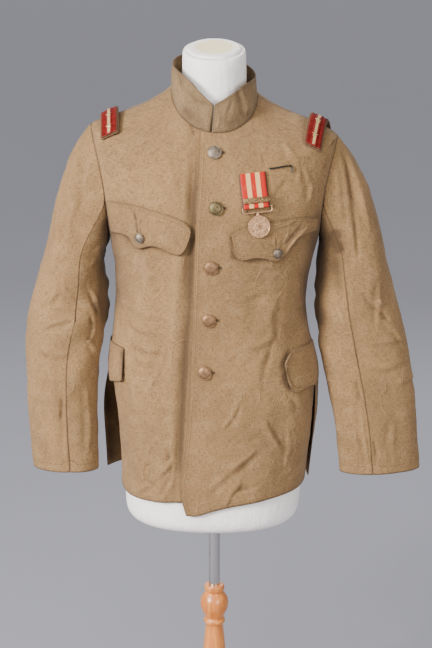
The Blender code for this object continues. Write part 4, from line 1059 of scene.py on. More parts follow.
def set_map(mesh: bpy.types.Mesh, places: np.ndarray) -> None:
    """Store the cloth map of a mesh, given a place for each vertex."""
    layer = mesh.uv_layers.new(name=CLOTH_MAP)
    corners = np.zeros(len(mesh.loops), np.int32)
    mesh.loops.foreach_get("vertex_index", corners)
    layer.data.foreach_set("uv", places[corners].astype(np.float32).ravel())


def mesh_points(mesh: bpy.types.Mesh) -> np.ndarray:
    """The vertices of a mesh as an array."""
    points = np.zeros(len(mesh.vertices) * 3, np.float32)
    mesh.vertices.foreach_get("co", points)
    return points.reshape(-1, 3).astype(float)


def mesh_normals(mesh: bpy.types.Mesh) -> np.ndarray:
    """The vertex normals of a mesh as an array."""
    return np.array([tuple(v.normal) for v in mesh.vertices])


Shift = Callable[[np.ndarray, np.ndarray, np.ndarray], np.ndarray]


class Tailor:
    """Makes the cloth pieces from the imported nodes, and sets every piece on its body."""

    seam_close = 0.35 * MILLI    # how far a piece's rim reaches along the cloth to its neighbour
    sink = 0.1 * MILLI           # how far every outer face lies within its solid's
    thickest = 2.9 * MILLI       # no cloth solid's wall is thicker

    def __init__(self, frame: dict) -> None:
        """Keep the frame's nodes, which say what body each rides on."""
        self.nodes = frame["nodes"]

    def put(self, piece: bpy.types.Object, node: str, slot: str, replaces: bool = True) -> None:
        """Let a piece ride on a node's body, in the node's place if it replaces it."""
        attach(piece, self.nodes[node]["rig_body"])
        if replaces:
            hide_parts(node)

    def outer_sheet(self, shell: Shell) -> bpy.types.Mesh:
        """The outer face of a node's slab, refined."""
        bm = merged_copy(self.nodes[shell.node])
        islands = wall_islands(bm, self.thickest)[:2]
        scores = [sum(face.calc_area() * face.normal.dot(shell.out_of(face.calc_center_median()))
                      for face in island) for island in islands]
        keep = set(islands[scores.index(max(scores))])
        bmesh.ops.delete(bm, geom=[f for f in bm.faces if f not in keep], context="FACES")
        into_quads(bm)
        return refined(mesh_of(shell.node, bm), shell.levels)

    def sew(self, shell: Shell, material: bpy.types.Material,
            extra: Optional[Shift] = None, sideways: Optional[Shift] = None) -> bpy.types.Object:
        """Make one cloth piece.

        Args:
            shell: what the piece is.
            material: its finish.
            extra: gives the rise of its creases, from its points, normals and cloth places.
            sideways: gives a whole move of each point, from the same.

        Returns:
            The finished piece.
        """
        mesh = self.outer_sheet(shell)
        points, normals = mesh_points(mesh), mesh_normals(mesh)
        places = shell.map_of(points)
        pixels = VIEW.project(points)
        seen = normals[:, 1] < FRONT_FACING
        edge, stitch, run = edge_reach(mesh, points, is_stitched(shell.stitching))
        rise = shell.rumples(points)
        if extra is not None:
            rise += extra(points, normals, places)
        for spot in shell.calm:
            rise *= 1.0 - spot.share(pixels) * seen
        rise = np.clip(rise * (0.12 + 0.88 * smooth(edge / shell.soft_edge)), -shell.deepest, shell.highest)
        moved = points + normals * (rise - self.sink)[:, None]
        moved += edge_growth(mesh, points, edge, self.seam_close)
        if sideways is not None:
            moved += sideways(points, normals, places)
        low = (edge < ON_EDGE) & (normals[:, 2] < 0.9) & (points[:, 2] < points[:, 2].mean())
        moved[low, 2] -= shell.drop
        mesh.vertices.foreach_set("co", moved.astype(np.float32).ravel())
        mesh.update()
        # painted shade from the piece's shade lines, only on the faces that the camera sees
        painted_shade = crease_rise(pixels, shell.painted_shade, PIXEL) / MILLI * (seen | shell.seen_inside)
        for name, values in (("rise", rise / MILLI), ("painted_shade", np.clip(painted_shade, 0.0, 1.0)), ("edge", edge),
                             ("stitch", stitch), ("run", run)):
            set_numbers(mesh, name, values)
        set_map(mesh, places)
        piece = place_mesh(f"{shell.node}_cloth", mesh, material)
        wall = piece.modifiers.new("wall", "SOLIDIFY")
        wall.thickness = shell.thickness
        wall.offset = -1.0
        wall.use_even_offset = False
        self.put(piece, shell.node, shell.slot)
        return piece


# ---- The jacket's creases, by pixels of the photograph's frame

FRONT_RIGHT_CREASES: Tuple[Crease, ...] = (
    Crease(((194, 146), (192, 185), (191, 225), (188.5, 270), (186, 320), (183, 370), (180, 420), (178, 470),
            (176, 503)), 9.5, -3.4, 0.30),
    Crease(((178, 160), (177, 230), (175, 300), (170, 360), (167, 420)), 9.0, 1.3, 0.0),
    Crease(((128, 316), (136, 328), (150, 333), (166, 335)), 4.0, 2.2, 0.8),
    Crease(((118, 298), (134, 309), (150, 316), (166, 320)), 5.5, 1.6, 0.7),
    Crease(((130, 341), (146, 349), (168, 352)), 5.0, 1.6, 0.7),
    Crease(((133, 352), (139, 361), (148, 364), (160, 361)), 4.0, 1.9, 0.8),
    Crease(((168, 340), (158, 372), (146, 394)), 6.5, 1.6, 0.6),
    Crease(((146, 382), (158, 400), (169, 416)), 5.0, -1.4, 0.6),
    Crease(((128, 372), (134, 390), (136, 420)), 7.0, 1.5, 0.6),
    Crease(((152, 463), (146, 466), (145, 474), (147, 482)), 3.0, -2.4, 0.9),
    Crease(((148, 482), (157, 477), (167, 468), (172, 458)), 5.0, 2.4, 0.8),
    Crease(((133, 494), (146, 486), (158, 483)), 4.5, 2.0, 0.8),
    Crease(((160, 498), (165, 486), (172, 478)), 5.0, -2.2, 0.6),
    Crease(((166, 446), (170, 456), (167, 466)), 4.5, -2.6, 0.5),
    Crease(((128, 420), (131, 450), (138, 476)), 7.0, 1.6, 0.7),
    Crease(((150, 420), (152, 438), (148, 455)), 5.0, 1.1, 0.7),
    Crease(((116, 276), (120, 310), (118, 340)), 5.0, -1.4, 0.5),
    Crease(((146, 258), (160, 276), (166, 300)), 7.0, 1.0, 0.7),
    Crease(((126, 262), (142, 276), (152, 300)), 6.0, -1.1, 0.6),
    Crease(((112, 148), (128, 160), (150, 166)), 8.0, 1.2, 0.7),
    Crease(((160, 142), (170, 168), (174, 196)), 8.0, 1.2, 0.5),
    Crease(((104, 170), (116, 186), (121, 198)), 5.0, -1.2, 0.6),
    Crease(((118, 240), (115, 252), (114, 268), (116, 300)), 1.7, -1.2, 0.5),
)

FRONT_LEFT_CREASES: Tuple[Crease, ...] = (
    Crease(((222, 430), (231, 418), (239, 404)), 4.5, 1.5, 0.8),
    Crease(((206, 494), (226, 474), (246, 458), (262, 444)), 7.0, 2.0, 0.8),
    Crease(((226, 499), (238, 492), (252, 488), (265, 483)), 3.2, -2.0, 0.8),
    Crease(((224, 508), (231, 494), (243, 480)), 5.0, 1.5, 0.7),
    Crease(((266, 418), (275, 434), (284, 448)), 3.6, -1.9, 0.9),
    Crease(((262, 424), (276, 446), (288, 455)), 6.0, 1.5, 0.5),
    Crease(((288, 428), (290, 448), (285, 468)), 5.0, 1.3, 0.6),
    Crease(((236, 445), (252, 441), (262, 438)), 4.0, -1.2, 0.7),
    Crease(((206, 334), (212, 330), (219, 332)), 2.6, -1.3, 0.8),
    Crease(((204, 352), (222, 358), (242, 353)), 6.0, 1.3, 0.7),
    Crease(((240, 350), (258, 346), (276, 336)), 6.0, 1.5, 0.7),
    Crease(((276, 336), (266, 366), (262, 392)), 6.5, -1.3, 0.6),
    Crease(((262, 300), (280, 312), (296, 330)), 6.0, 1.4, 0.7),
    Crease(((282, 296), (276, 320), (278, 342)), 7.0, -1.4, 0.5),
    Crease(((236, 302), (258, 292), (282, 288)), 6.5, 1.2, 0.7),
    Crease(((218, 284), (240, 286), (262, 280)), 5.0, -0.9, 0.7),
    Crease(((286, 394), (292, 402), (299, 408)), 3.5, -1.5, 0.8),
    Crease(((296, 392), (304, 414), (303, 440)), 7.0, 1.5, 0.6),
    Crease(((296, 244), (299, 262), (301, 282), (301, 302)), 1.7, -1.2, 0.5),
    Crease(((304, 166), (312, 186), (309, 204)), 5.0, 1.6, 0.7),
    Crease(((262, 148), (265, 166), (262, 184)), 4.5, -0.9, 0.6),
    Crease(((284, 142), (296, 160), (300, 184)), 7.0, 1.3, 0.6),
    Crease(((288, 178), (276, 196), (270, 212)), 6.0, -1.0, 0.6),
    Crease(((234, 138), (252, 132), (270, 140)), 6.0, 1.2, 0.6),
    Crease(((214, 390), (226, 382), (244, 382)), 5.0, -0.9, 0.7),
    Crease(((240, 262), (262, 268), (284, 266)), 5.0, 1.1, 0.7),
)

COLLAR_CREASES: Tuple[Crease, ...] = (
    Crease(((181, 78), (188, 98), (197, 118)), 5.0, 1.3, 0.6),
    Crease(((186, 72), (196, 98), (205, 120)), 4.0, -0.8, 0.5),
    Crease(((233, 98), (229, 112), (226, 126)), 4.0, -0.8, 0.7),
    Crease(((240, 86), (247, 102), (246, 118)), 5.0, 1.2, 0.6),
    Crease(((216, 108), (219, 120), (216, 132)), 4.0, 1.0, 0.7),
    Crease(((192, 130), (202, 126), (209, 130)), 3.0, 0.8, 0.7),
)

FLAP_RIGHT_CREASES: Tuple[Crease, ...] = (
    Crease(((132.5, 208), (134, 217), (136, 227), (138, 238)), 1.9, -2.3, -0.9),
    Crease(((137, 206), (139, 220), (141, 232)), 3.4, 1.4, 0.3),
    Crease(((150, 214), (149, 226), (150, 240)), 3.4, -1.1, 0.6),
    Crease(((112, 204), (116, 216), (114, 228)), 5.0, 1.1, 0.6),
    Crease(((160, 216), (172, 232), (176, 248)), 6.0, 1.0, 0.5),
)

FLAP_HIP_CREASES: Tuple[Crease, ...] = (
    Crease(((291, 349), (284, 364), (286, 380), (293, 394)), 7.0, 3.6, 0.0),
    Crease(((296, 352), (291, 366), (293, 382)), 4.0, -0.4, 0.0),
)

FLAP_LEFT_CREASES: Tuple[Crease, ...] = (
    Crease(((306, 220), (297, 229), (288, 239), (281, 249)), 2.6, -2.6, -0.6),
    Crease(((309, 226), (299, 236), (291, 246), (285, 256)), 3.4, 2.6, 0.3),
    Crease(((276, 236), (277, 244), (277, 250)), 2.4, -1.0, 0.6),
    Crease(((240, 238), (256, 242), (266, 250)), 5.0, 1.0, 0.5),
    Crease(((262, 228), (284, 226), (300, 219)), 3.6, 0.9, 0.7),
)

SLEEVE_RIGHT_CREASES: Tuple[Crease, ...] = (
    Crease(((62, 396), (61.3, 408), (60.6, 422)), 1.7, -2.6, -0.5),
    Crease(((66, 400), (68, 430), (67, 468)), 6.0, 1.5, 0.5),
    Crease(((88, 286), (95, 296), (99, 308), (102, 318)), 4.4, 2.2, 0.9),
    Crease(((92, 300), (97, 310), (98, 318)), 3.8, -2.0, 0.3),
    Crease(((84, 343), (90, 338), (92, 326), (90, 312)), 3.4, -2.4, 0.8),
    Crease(((88, 340), (95, 350), (101, 364)), 4.4, 1.8, 0.8),
    Crease(((90, 268), (96, 258), (100, 244)), 5.0, 1.4, 0.8),
    Crease(((62, 276), (65, 292), (74, 300), (84, 301)), 5.0, 1.9, 0.8),
    Crease(((40, 330), (52, 323), (66, 320), (80, 318)), 5.0, 2.0, 0.8),
    Crease(((38, 350), (56, 356), (76, 352)), 5.5, 1.7, 0.7),
    Crease(((38, 306), (50, 300), (60, 288)), 6.0, 1.6, 0.7),
    Crease(((66, 180), (72, 210), (68, 244)), 8.0, 1.7, 0.6),
    Crease(((80, 150), (82, 180), (80, 214)), 7.0, -1.7, 0.6),
    Crease(((58, 220), (56, 250), (50, 280)), 8.0, 1.4, 0.6),
    Crease(((44, 436), (46, 452), (45, 466)), 4.0, -1.3, 0.7),
    Crease(((52, 372), (54, 400), (50, 430)), 8.0, 1.2, 0.6),
    Crease(((86, 380), (90, 420), (88, 460)), 6.0, 1.3, 0.6),
)

SLEEVE_LEFT_CREASES: Tuple[Crease, ...] = (
    Crease(((340, 146), (347, 166), (352, 196), (356, 230), (359, 268)), 5.0, -2.6, 0.3),
    Crease(((347, 150), (356, 176), (364, 206), (371, 236)), 7.0, 2.2, 0.3),
    Crease(((336, 160), (338, 190), (342, 220)), 7.0, 1.5, 0.5),
    Crease(((362, 294), (371, 305), (381, 312), (392, 324)), 2.6, -2.6, -0.7),
    Crease(((366, 290), (376, 300), (386, 306)), 5.0, 1.8, 0.3),
    Crease(((380, 280), (379, 300), (378, 332)), 5.0, 1.6, 0.7),
    Crease(((356, 380), (358, 392), (359, 404)), 1.9, -2.8, -0.5),
    Crease(((361, 402), (362, 426), (366, 450), (370, 470)), 4.6, 2.6, 0.7),
    Crease(((372, 434), (376, 452), (375, 470)), 4.0, -1.8, 0.7),
    Crease(((396, 384), (408, 379), (416, 374)), 4.5, 1.5, 0.8),
    Crease(((366, 346), (388, 341), (408, 338)), 5.5, 1.5, 0.7),
    Crease(((364, 366), (386, 368), (410, 358)), 6.0, 1.3, 0.7),
    Crease(((338, 338), (332, 346), (330, 358)), 4.6, -1.4, 0.7),
    Crease(((330, 300), (340, 312), (346, 330)), 6.0, 1.7, 0.6),
    Crease(((346, 270), (352, 296), (350, 326)), 7.0, 1.4, 0.6),
    Crease(((330, 232), (340, 240), (346, 254)), 5.0, -1.5, 0.6),
    Crease(((384, 320), (396, 330), (404, 346)), 5.0, 1.3, 0.7),
    Crease(((394, 420), (392, 444), (396, 466)), 7.0, 1.3, 0.6),
    Crease(((326, 370), (334, 400), (340, 440)), 7.0, 1.5, 0.6),
)

BUTTON_PIXELS: Tuple[Point2, ...] = ((214.4, 153.0), (215.8, 208.6), (211.2, 268.0), (208.6, 320.5),
                                     (204.6, 373.0))
FRONT_CALM: Tuple[Calm, ...] = tuple(Calm(place, (9.0, 9.0)) for place in BUTTON_PIXELS) + (
    Calm((254.0, 190.0), (20.0, 30.0)), Calm((279.0, 171.0), (20.0, 8.0)),      # the medal and its pin
    Calm((110.0, 122.0), (20.0, 26.0)), Calm((315.0, 130.0), (20.0, 28.0)),     # the shoulder boards
)
POCKET_CALM: Tuple[Calm, ...] = (Calm((141.2, 237.4), (8.0, 8.0)), Calm((276.2, 252.5), (8.0, 8.0)))

# Painted shade: lines where shadow falls beside, under and between the pieces, whose rise is how dark they
# are painted, from 0 to 1
FRONT_RIGHT_PAINTED_SHADE: Tuple[Crease, ...] = (
    Crease(((197, 139), (196, 180), (194.5, 200), (191.5, 260), (189.5, 310), (186.5, 345), (183.5, 395),
            (181, 450), (179.5, 503)), 6.0, 1.0, 0.0),
    Crease(((192, 150), (189, 260), (183, 400), (179, 500)), 13.0, 0.34, 0.0),
    Crease(((123, 352), (123.5, 380)), 4.0, 1.1, 0.0),
    Crease(((190, 122), (194, 136)), 5.0, 0.6, 0.0),
    Crease(((107, 204), (110, 230), (111, 262), (110, 335)), 18.0, 1.05, 0.0),
    Crease(((109, 335), (110, 400), (111, 476)), 10.0, 0.60, 0.0),
    Crease(((128, 346), (146, 353), (168, 356)), 4.0, 0.30, 0.0),
    Crease(((150, 470), (148, 480), (158, 487)), 4.0, 0.35, 0.0),
    Crease(((103, 220), (105, 230), (122, 233), (132, 241), (140, 248), (152, 246), (168, 251), (183, 254),
            (192, 233)), 5.5, 0.60, 0.0),
)
FRONT_LEFT_PAINTED_SHADE: Tuple[Crease, ...] = (
    Crease(((289, 347), (282, 366), (285, 382), (292, 394)), 6.5, 1.15, 0.0),
    Crease(((319, 204), (315, 240), (311, 280), (309, 335)), 19.0, 1.05, 0.0),
    Crease(((309, 335), (315, 380), (316, 450)), 9.0, 0.50, 0.0),
    Crease(((231, 233), (232, 257), (252, 261), (272, 258), (285, 254), (298, 238), (318, 223)),
           5.5, 0.55, 0.0),
    Crease(((267, 424), (276, 441), (286, 451)), 3.0, 0.30, 0.0),
    Crease(((225, 500), (240, 491), (262, 485)), 3.0, 0.30, 0.0),
    Crease(((240, 205), (243, 212), (270, 213)), 5.0, 0.25, 0.0),
)
BACK_PAINTED_SHADE: Tuple[Crease, ...] = (
    Crease(((103, 372), (107, 420), (111, 470)), 14.0, 0.85, 0.0),
    Crease(((309, 385), (310, 428), (309, 474)), 9.0, 0.70, 0.0),
)
FLAP_PAINTED_SHADE: Tuple[Crease, ...] = (
    Crease(((133, 209), (136, 222), (138, 236)), 3.0, 0.75, 0.0),
    Crease(((304, 222), (293, 234), (283, 247)), 4.0, 0.85, 0.0),
    Crease(((286, 366), (287, 380)), 4.0, 0.5, 0.0),
    Crease(((122, 346), (123, 364), (124, 384)), 5.5, 1.1, 0.0),
)
COLLAR_PAINTED_SHADE: Tuple[Crease, ...] = (
    Crease(((176, 62), (182, 84), (196, 100), (212, 106)), 6.0, 0.45, 0.0),
    Crease(((214, 106), (230, 98), (246, 84), (252, 72)), 6.0, 0.45, 0.0),
    Crease(((180, 104), (190, 116), (204, 126)), 11.0, 0.50, 0.0),
    Crease(((222, 126), (238, 120), (250, 108)), 9.0, 0.40, 0.0),
    Crease(((214, 104), (211, 120), (209, 136)), 3.0, 0.75, 0.0),
    Crease(((236, 92), (240, 104), (238, 114)), 7.0, 0.30, 0.0),
)
SLEEVE_PAINTED_SHADE: Tuple[Crease, ...] = (
    Crease(((335, 227), (341, 255)), 13.0, 0.85, 0.0),
    Crease(((330, 215), (336, 262), (340, 300)), 14.0, 0.55, 0.0),
    Crease(((342, 150), (349, 172), (353, 205), (356, 250)), 7.0, 0.45, 0.0),
    Crease(((97, 300), (98, 312)), 8.0, 0.8, 0.0),
    Crease(((106, 205), (105, 250), (104, 300), (106, 345)), 16.0, 1.1, 0.0),
    Crease(((92, 336), (88, 345)), 5.0, 0.5, 0.0),
    Crease(((62, 398), (60.6, 422)), 3.0, 0.8, 0.0),
    Crease(((356, 380), (360, 404)), 3.0, 0.6, 0.0),
    Crease(((319, 205), (318, 250), (319, 300), (322, 345)), 18.0, 1.1, 0.0),
)

# Hidden creases, by metres round the body or the sleeve from the middle of each piece, and height
BACK_CREASES: Tuple[Crease, ...] = (
    Crease(((-0.16, 1.05), (-0.09, 1.02), (-0.03, 1.03)), 12.0, 2.2, 0.6),
    Crease(((0.16, 1.04), (0.10, 1.00), (0.03, 1.02)), 12.0, 2.0, 0.6),
    Crease(((-0.20, 0.93), (-0.13, 0.885), (-0.05, 0.872)), 9.0, 2.4, 0.8),
    Crease(((0.20, 0.94), (0.14, 0.90), (0.06, 0.880)), 9.0, 2.2, 0.8),
    Crease(((-0.20, 0.88), (-0.12, 0.845), (-0.02, 0.838)), 7.0, 2.6, 0.9),
    Crease(((0.21, 0.865), (0.13, 0.840), (0.02, 0.846)), 7.0, 2.4, 0.9),
    Crease(((-0.10, 0.82), (-0.03, 0.812), (0.06, 0.820)), 6.0, -1.9, 0.7),
    Crease(((-0.17, 0.79), (-0.15, 0.70), (-0.155, 0.60)), 12.0, 2.8, 0.6),
    Crease(((-0.09, 0.79), (-0.075, 0.69), (-0.08, 0.57)), 10.0, -2.2, 0.7),
    Crease(((0.02, 0.80), (0.015, 0.70), (0.02, 0.57)), 13.0, 2.4, 0.6),
    Crease(((0.11, 0.79), (0.10, 0.69), (0.105, 0.57)), 11.0, -2.2, 0.7),
    Crease(((0.19, 0.78), (0.18, 0.68), (0.185, 0.58)), 12.0, 2.6, 0.6),
    Crease(((-0.04, 1.12), (-0.02, 1.08), (0.03, 1.06)), 8.0, 1.5, 0.7),
    Crease(((0.10, 0.97), (0.12, 0.92), (0.17, 0.88)), 7.0, -1.8, 0.7),
    Crease(((-0.12, 0.99), (-0.15, 0.94), (-0.19, 0.90)), 8.0, 1.9, 0.7),
    Crease(((-0.06, 0.64), (-0.02, 0.62), (0.01, 0.59)), 7.0, 1.6, 0.8),
    Crease(((0.06, 0.66), (0.10, 0.62), (0.12, 0.58)), 6.0, -1.6, 0.8),
)
UNDER_CREASES: Tuple[Crease, ...] = (
    Crease(((-0.07, 0.88), (-0.02, 0.865), (0.04, 0.872)), 12.0, 1.3, 0.7),
    Crease(((-0.06, 0.845), (0.0, 0.832), (0.06, 0.842)), 12.0, 1.4, 0.7),
    Crease(((-0.06, 0.812), (0.0, 0.798), (0.06, 0.808)), 11.0, -1.4, 0.5),
    Crease(((-0.05, 0.782), (0.01, 0.770), (0.05, 0.776)), 12.0, 1.1, 0.6),
    Crease(((0.01, 0.75), (0.02, 0.68), (0.01, 0.59)), 9.0, 2.0, 0.7),
    Crease(((-0.03, 0.74), (-0.03, 0.66), (-0.035, 0.58)), 8.0, -1.8, 0.7),
    Crease(((0.0, 0.96), (0.01, 0.93), (0.04, 0.90)), 7.0, 1.8, 0.8),
)
SLEEVE_BACK_CREASES: Tuple[Crease, ...] = tuple(
    Crease(tuple((side * across, up) for across, up in line), width, rise, hollow)
    for side in (1.0, -1.0)
    for line, width, rise, hollow in (
        (((0.07, 1.02), (0.075, 0.95), (0.07, 0.88)), 9.0, 2.2, 0.7),
        (((0.10, 0.86), (0.07, 0.83), (0.03, 0.82)), 7.0, 2.2, 0.8),
        (((0.10, 0.80), (0.06, 0.78), (0.02, 0.785)), 6.0, -2.2, 0.7),
        (((0.06, 0.74), (0.07, 0.67), (0.065, 0.59)), 9.0, 2.0, 0.7),
    )
)


CREASED_PAST = 0.10      # the front's creases run out where the normal's Y is above this
FADES_OVER = 0.35        # and every set of creases fades over this much of the normal's Y


def front_rise(creases: Sequence[Crease]) -> Shift:
    """The rise of creases named by the photograph's pixels, as a function for the tailor."""
    def rise(points: np.ndarray, normals: np.ndarray, places: np.ndarray) -> np.ndarray:
        """The rise at each point, fading where the cloth turns away from the camera."""
        pixels = VIEW.project(points)
        facing = np.clip((-normals[:, 1] + CREASED_PAST) / FADES_OVER, 0.0, 1.0)
        return crease_rise(pixels, creases, PIXEL) * facing
    return rise


def hidden_rise(creases: Sequence[Crease], behind: float) -> Shift:
    """The rise of creases named by cloth places; behind is the lowest normal along +Y they reach."""
    def rise(points: np.ndarray, normals: np.ndarray, places: np.ndarray) -> np.ndarray:
        """The rise at each point, fading towards the side that the camera sees."""
        away = np.clip((normals[:, 1] - behind) / FADES_OVER, 0.0, 1.0)
        return crease_rise(places, creases, 1.0) * away * HIDDEN_BOLDNESS
    return rise


def both(*parts: Shift) -> Shift:
    """The sum of several rises."""
    def rise(points: np.ndarray, normals: np.ndarray, places: np.ndarray) -> np.ndarray:
        """The summed rise at each point."""
        return sum(part(points, normals, places) for part in parts)
    return rise


@dataclass
class Jacket:
    """The cut-and-sewn pieces: fronts, back, collar, sleeves and flaps."""

    tailor: Tailor
    cloth: ClothFinish = ClothFinish("jacket_cloth", stitch_rows=(2.8 * MILLI, 6.2 * MILLI))
    plain: ClothFinish = ClothFinish("jacket_cloth_hem", stitch_rows=(13.0 * MILLI,))
    collar: ClothFinish = ClothFinish("jacket_collar", stitch_rows=(2.6 * MILLI, 5.4 * MILLI),
                                      lit=(0.252, 0.162, 0.080), dull=(0.178, 0.113, 0.053))
    lap_lift: float = 1.6 * MILLI
    lap_soft: float = 5.0
    lap_rows: Tuple[float, ...] = (141, 180, 260, 350, 400, 450, 517)
    lap_columns: Tuple[float, ...] = (200, 199, 196, 190, 188, 182, 180)
    collar_tuck: float = 0.045
    collar_lap: float = 4.0 * MILLI
    collar_under: float = 1.7 * MILLI
    under_flaps: Tuple[Calm, ...] = (
        Calm((146.0, 228.0), (52.0, 24.0)), Calm((272.0, 238.0), (48.0, 24.0)),
        Calm((118.0, 366.0), (9.0, 26.0)), Calm((302.0, 370.0), (18.0, 26.0)),
    )

    def lap_edge_rise(self, points: np.ndarray, normals: np.ndarray, places: np.ndarray) -> np.ndarray:
        """Lifts the lapping front a little along its edge, so that it casts a line of shade."""
        pixels = VIEW.project(points)
        line = np.interp(pixels[:, 1], self.lap_rows, self.lap_columns)
        near = np.exp(-(((pixels[:, 0] - line) / self.lap_soft) ** 2))
        return self.lap_lift * near * (normals[:, 1] < 0)

    def lap_collar(self, points: np.ndarray, normals: np.ndarray, places: np.ndarray) -> np.ndarray:
        """Tucks the collar's right end under its left one, so that no light falls through the slit."""
        near = np.clip(1.0 - (places[:, 0].max() - places[:, 0]) / self.collar_tuck, 0.0, 1.0)
        return near[:, None] * (np.array((self.collar_lap, 0.0, 0.0)) - normals * self.collar_under)

    def build(self) -> None:
        """Make every piece of the jacket."""
        cloth, plain, collar = self.cloth.build(), self.plain.build(), self.collar.build()
        sew = self.tailor.sew
        calm = FRONT_CALM + self.under_flaps
        lapping = both(front_rise(FRONT_LEFT_CREASES), self.lap_edge_rise)
        for side, flat, creases, painted_shade in (
                ("right", (0.300, 0.720), front_rise(FRONT_RIGHT_CREASES), FRONT_RIGHT_PAINTED_SHADE),
                ("left", (0.320, 0.740), lapping, FRONT_LEFT_PAINTED_SHADE)):
            sew(Shell(f"front_{side}", Wrap.BODY, flat, Stitching.FRONT_EDGE, calm=calm, painted_shade=painted_shade),
                cloth, creases)
        sew(Shell("back", Wrap.BODY, (0.540, 0.720), Stitching.HEM, painted_shade=BACK_PAINTED_SHADE, seen_inside=True), plain,
            hidden_rise(BACK_CREASES, -0.35))
        sew(Shell("collar", Wrap.BODY, (0.480, 0.070), Stitching.ALL, ripple=0.60 * MILLI,
                  deepest=1.0 * MILLI, drop=1.6 * MILLI, soft_edge=3.0 * MILLI, painted_shade=COLLAR_PAINTED_SHADE),
            collar, front_rise(COLLAR_CREASES), sideways=self.lap_collar)
        for side, wrap, creases in (("right", Wrap.SLEEVE_RIGHT, SLEEVE_RIGHT_CREASES),
                                    ("left", Wrap.SLEEVE_LEFT, SLEEVE_LEFT_CREASES)):
            for part, flat, hidden in (("top", (0.300, 0.640), hidden_rise(SLEEVE_BACK_CREASES, -0.1)),
                                       ("under", (0.190, 0.560), hidden_rise(UNDER_CREASES, -0.3))):
                sew(Shell(f"sleeve_{side}_{part}", wrap, flat, Stitching.CUFF, painted_shade=SLEEVE_PAINTED_SHADE), plain,
                    both(front_rise(creases), hidden))
        for part, side, flat, soft_edge, creases in (
                ("breast", "right", (0.170, 0.075), 3.0 * MILLI, FLAP_RIGHT_CREASES),
                ("breast", "left", (0.180, 0.080), 3.0 * MILLI, FLAP_LEFT_CREASES),
                ("hip", "right", (0.120, 0.070), 3.0 * MILLI, ()),
                ("hip", "left", (0.120, 0.080), 0.3 * MILLI, FLAP_HIP_CREASES)):
            sew(Shell(f"flap_{part}_{side}", Wrap.BODY, flat, Stitching.ALL, rests_on=f"front_{side}_cloth",
                      ripple=0.30 * MILLI, deepest=0.4 * MILLI, soft_edge=soft_edge, calm=POCKET_CALM,
                      painted_shade=FLAP_PAINTED_SHADE), cloth, front_rise(creases))


# ---- Hard pieces


@dataclass(frozen=True)
class Seat:
    """Where a small turned piece sits: its foot's middle, its outward axis and its radius."""

    foot: Vector
    out: Vector
    radius: float

    def frame(self) -> Matrix:
        """A matrix whose Z is outwards and whose Y is as near up as it can be."""
        across = Vector((0.0, 0.0, 1.0)).cross(self.out).normalized()
        matrix = Matrix((across, self.out.cross(across), self.out)).transposed().to_4x4()
        matrix.translation = self.foot
        return matrix


def seat_of(node: bpy.types.Object) -> Seat:
    """Find how a round node sits, from its own points."""
    bm = merged_copy(node)
    points = np.array([tuple(v.co) for v in bm.verts])
    bm.free()
    middle = points.mean(axis=0)
    out = np.linalg.svd(points - middle, full_matrices=False)[2][2]
    if out[1] > 0:
        out = -out
    low = ((points - middle) @ out).min()
    spread = points - middle - ((points - middle) @ out)[:, None] * out
    radius = float(np.linalg.norm(spread, axis=1).max())
    return Seat(Vector(middle + low * out), Vector(out).normalized(), radius)


def turned(outline: Sequence[Point2], steps: int) -> bmesh.types.BMesh:
    """Turn an outline of (radius, height) points about Z into a closed shape."""
    bm = bmesh.new()
    verts = [bm.verts.new((radius, 0.0, height)) for radius, height in outline]
    edges = [bm.edges.new(pair) for pair in zip(verts, verts[1:])]
    bmesh.ops.spin(bm, geom=verts + edges, axis=(0, 0, 1), cent=(0, 0, 0), steps=steps,
                   angle=2 * math.pi, use_merge=True)
    bmesh.ops.remove_doubles(bm, verts=bm.verts, dist=1e-6)
    bmesh.ops.recalc_face_normals(bm, faces=bm.faces)
    return bm


def rounded(outline: Sequence[Point2], steps: int) -> List[Point2]:
    """A finer outline whose points run smoothly through the given ones."""
    points = [np.array(p) for p in outline]
    fine: List[Point2] = []
    for i in range(len(points) - 1):
        before, after = points[max(i - 1, 0)], points[min(i + 2, len(points) - 1)]
        start, end = points[i], points[i + 1]
        for k in range(steps):
            t = k / steps
            value = 0.5 * (2 * start + (end - before) * t
                           + (2 * before - 5 * start + 4 * end - after) * t ** 2
                           + (3 * start - before - 3 * end + after) * t ** 3)
            fine.append((max(float(value[0]), 0.0), float(value[1])))
    fine.append(tuple(points[-1]))
    return fine


def bevel_corners(bm: bmesh.types.BMesh, width: float) -> None:
    """Round the corners of a hard shape by a width in metres."""
    bmesh.ops.bevel(bm, geom=[e for e in bm.edges if e.calc_face_angle(0.0) > math.radians(50.0)],
                    offset=width, affect="EDGES", segments=2, profile=0.5, material=-1)


def turned_by(bm: bmesh.types.BMesh, verts: Sequence[bmesh.types.BMVert], degrees: float, axis: str) -> None:
    """Turn some points about an axis through the origin."""
    bmesh.ops.rotate(bm, verts=verts, cent=(0, 0, 0), matrix=Matrix.Rotation(math.radians(degrees), 3, axis))


class ButtonMetal(Enum):
    """The metals of the jacket's buttons."""

    SILVER = MetalFinish("button_silver", (0.270, 0.215, 0.165), (0.150, 0.115, 0.086), 0.38, 330.0)
    BRONZE = MetalFinish("button_bronze", (0.20, 0.145, 0.068), (0.085, 0.064, 0.032), 0.38, 360.0)
    COPPER = MetalFinish("button_copper", (0.34, 0.190, 0.098), (0.190, 0.102, 0.052), 0.40, 240.0)


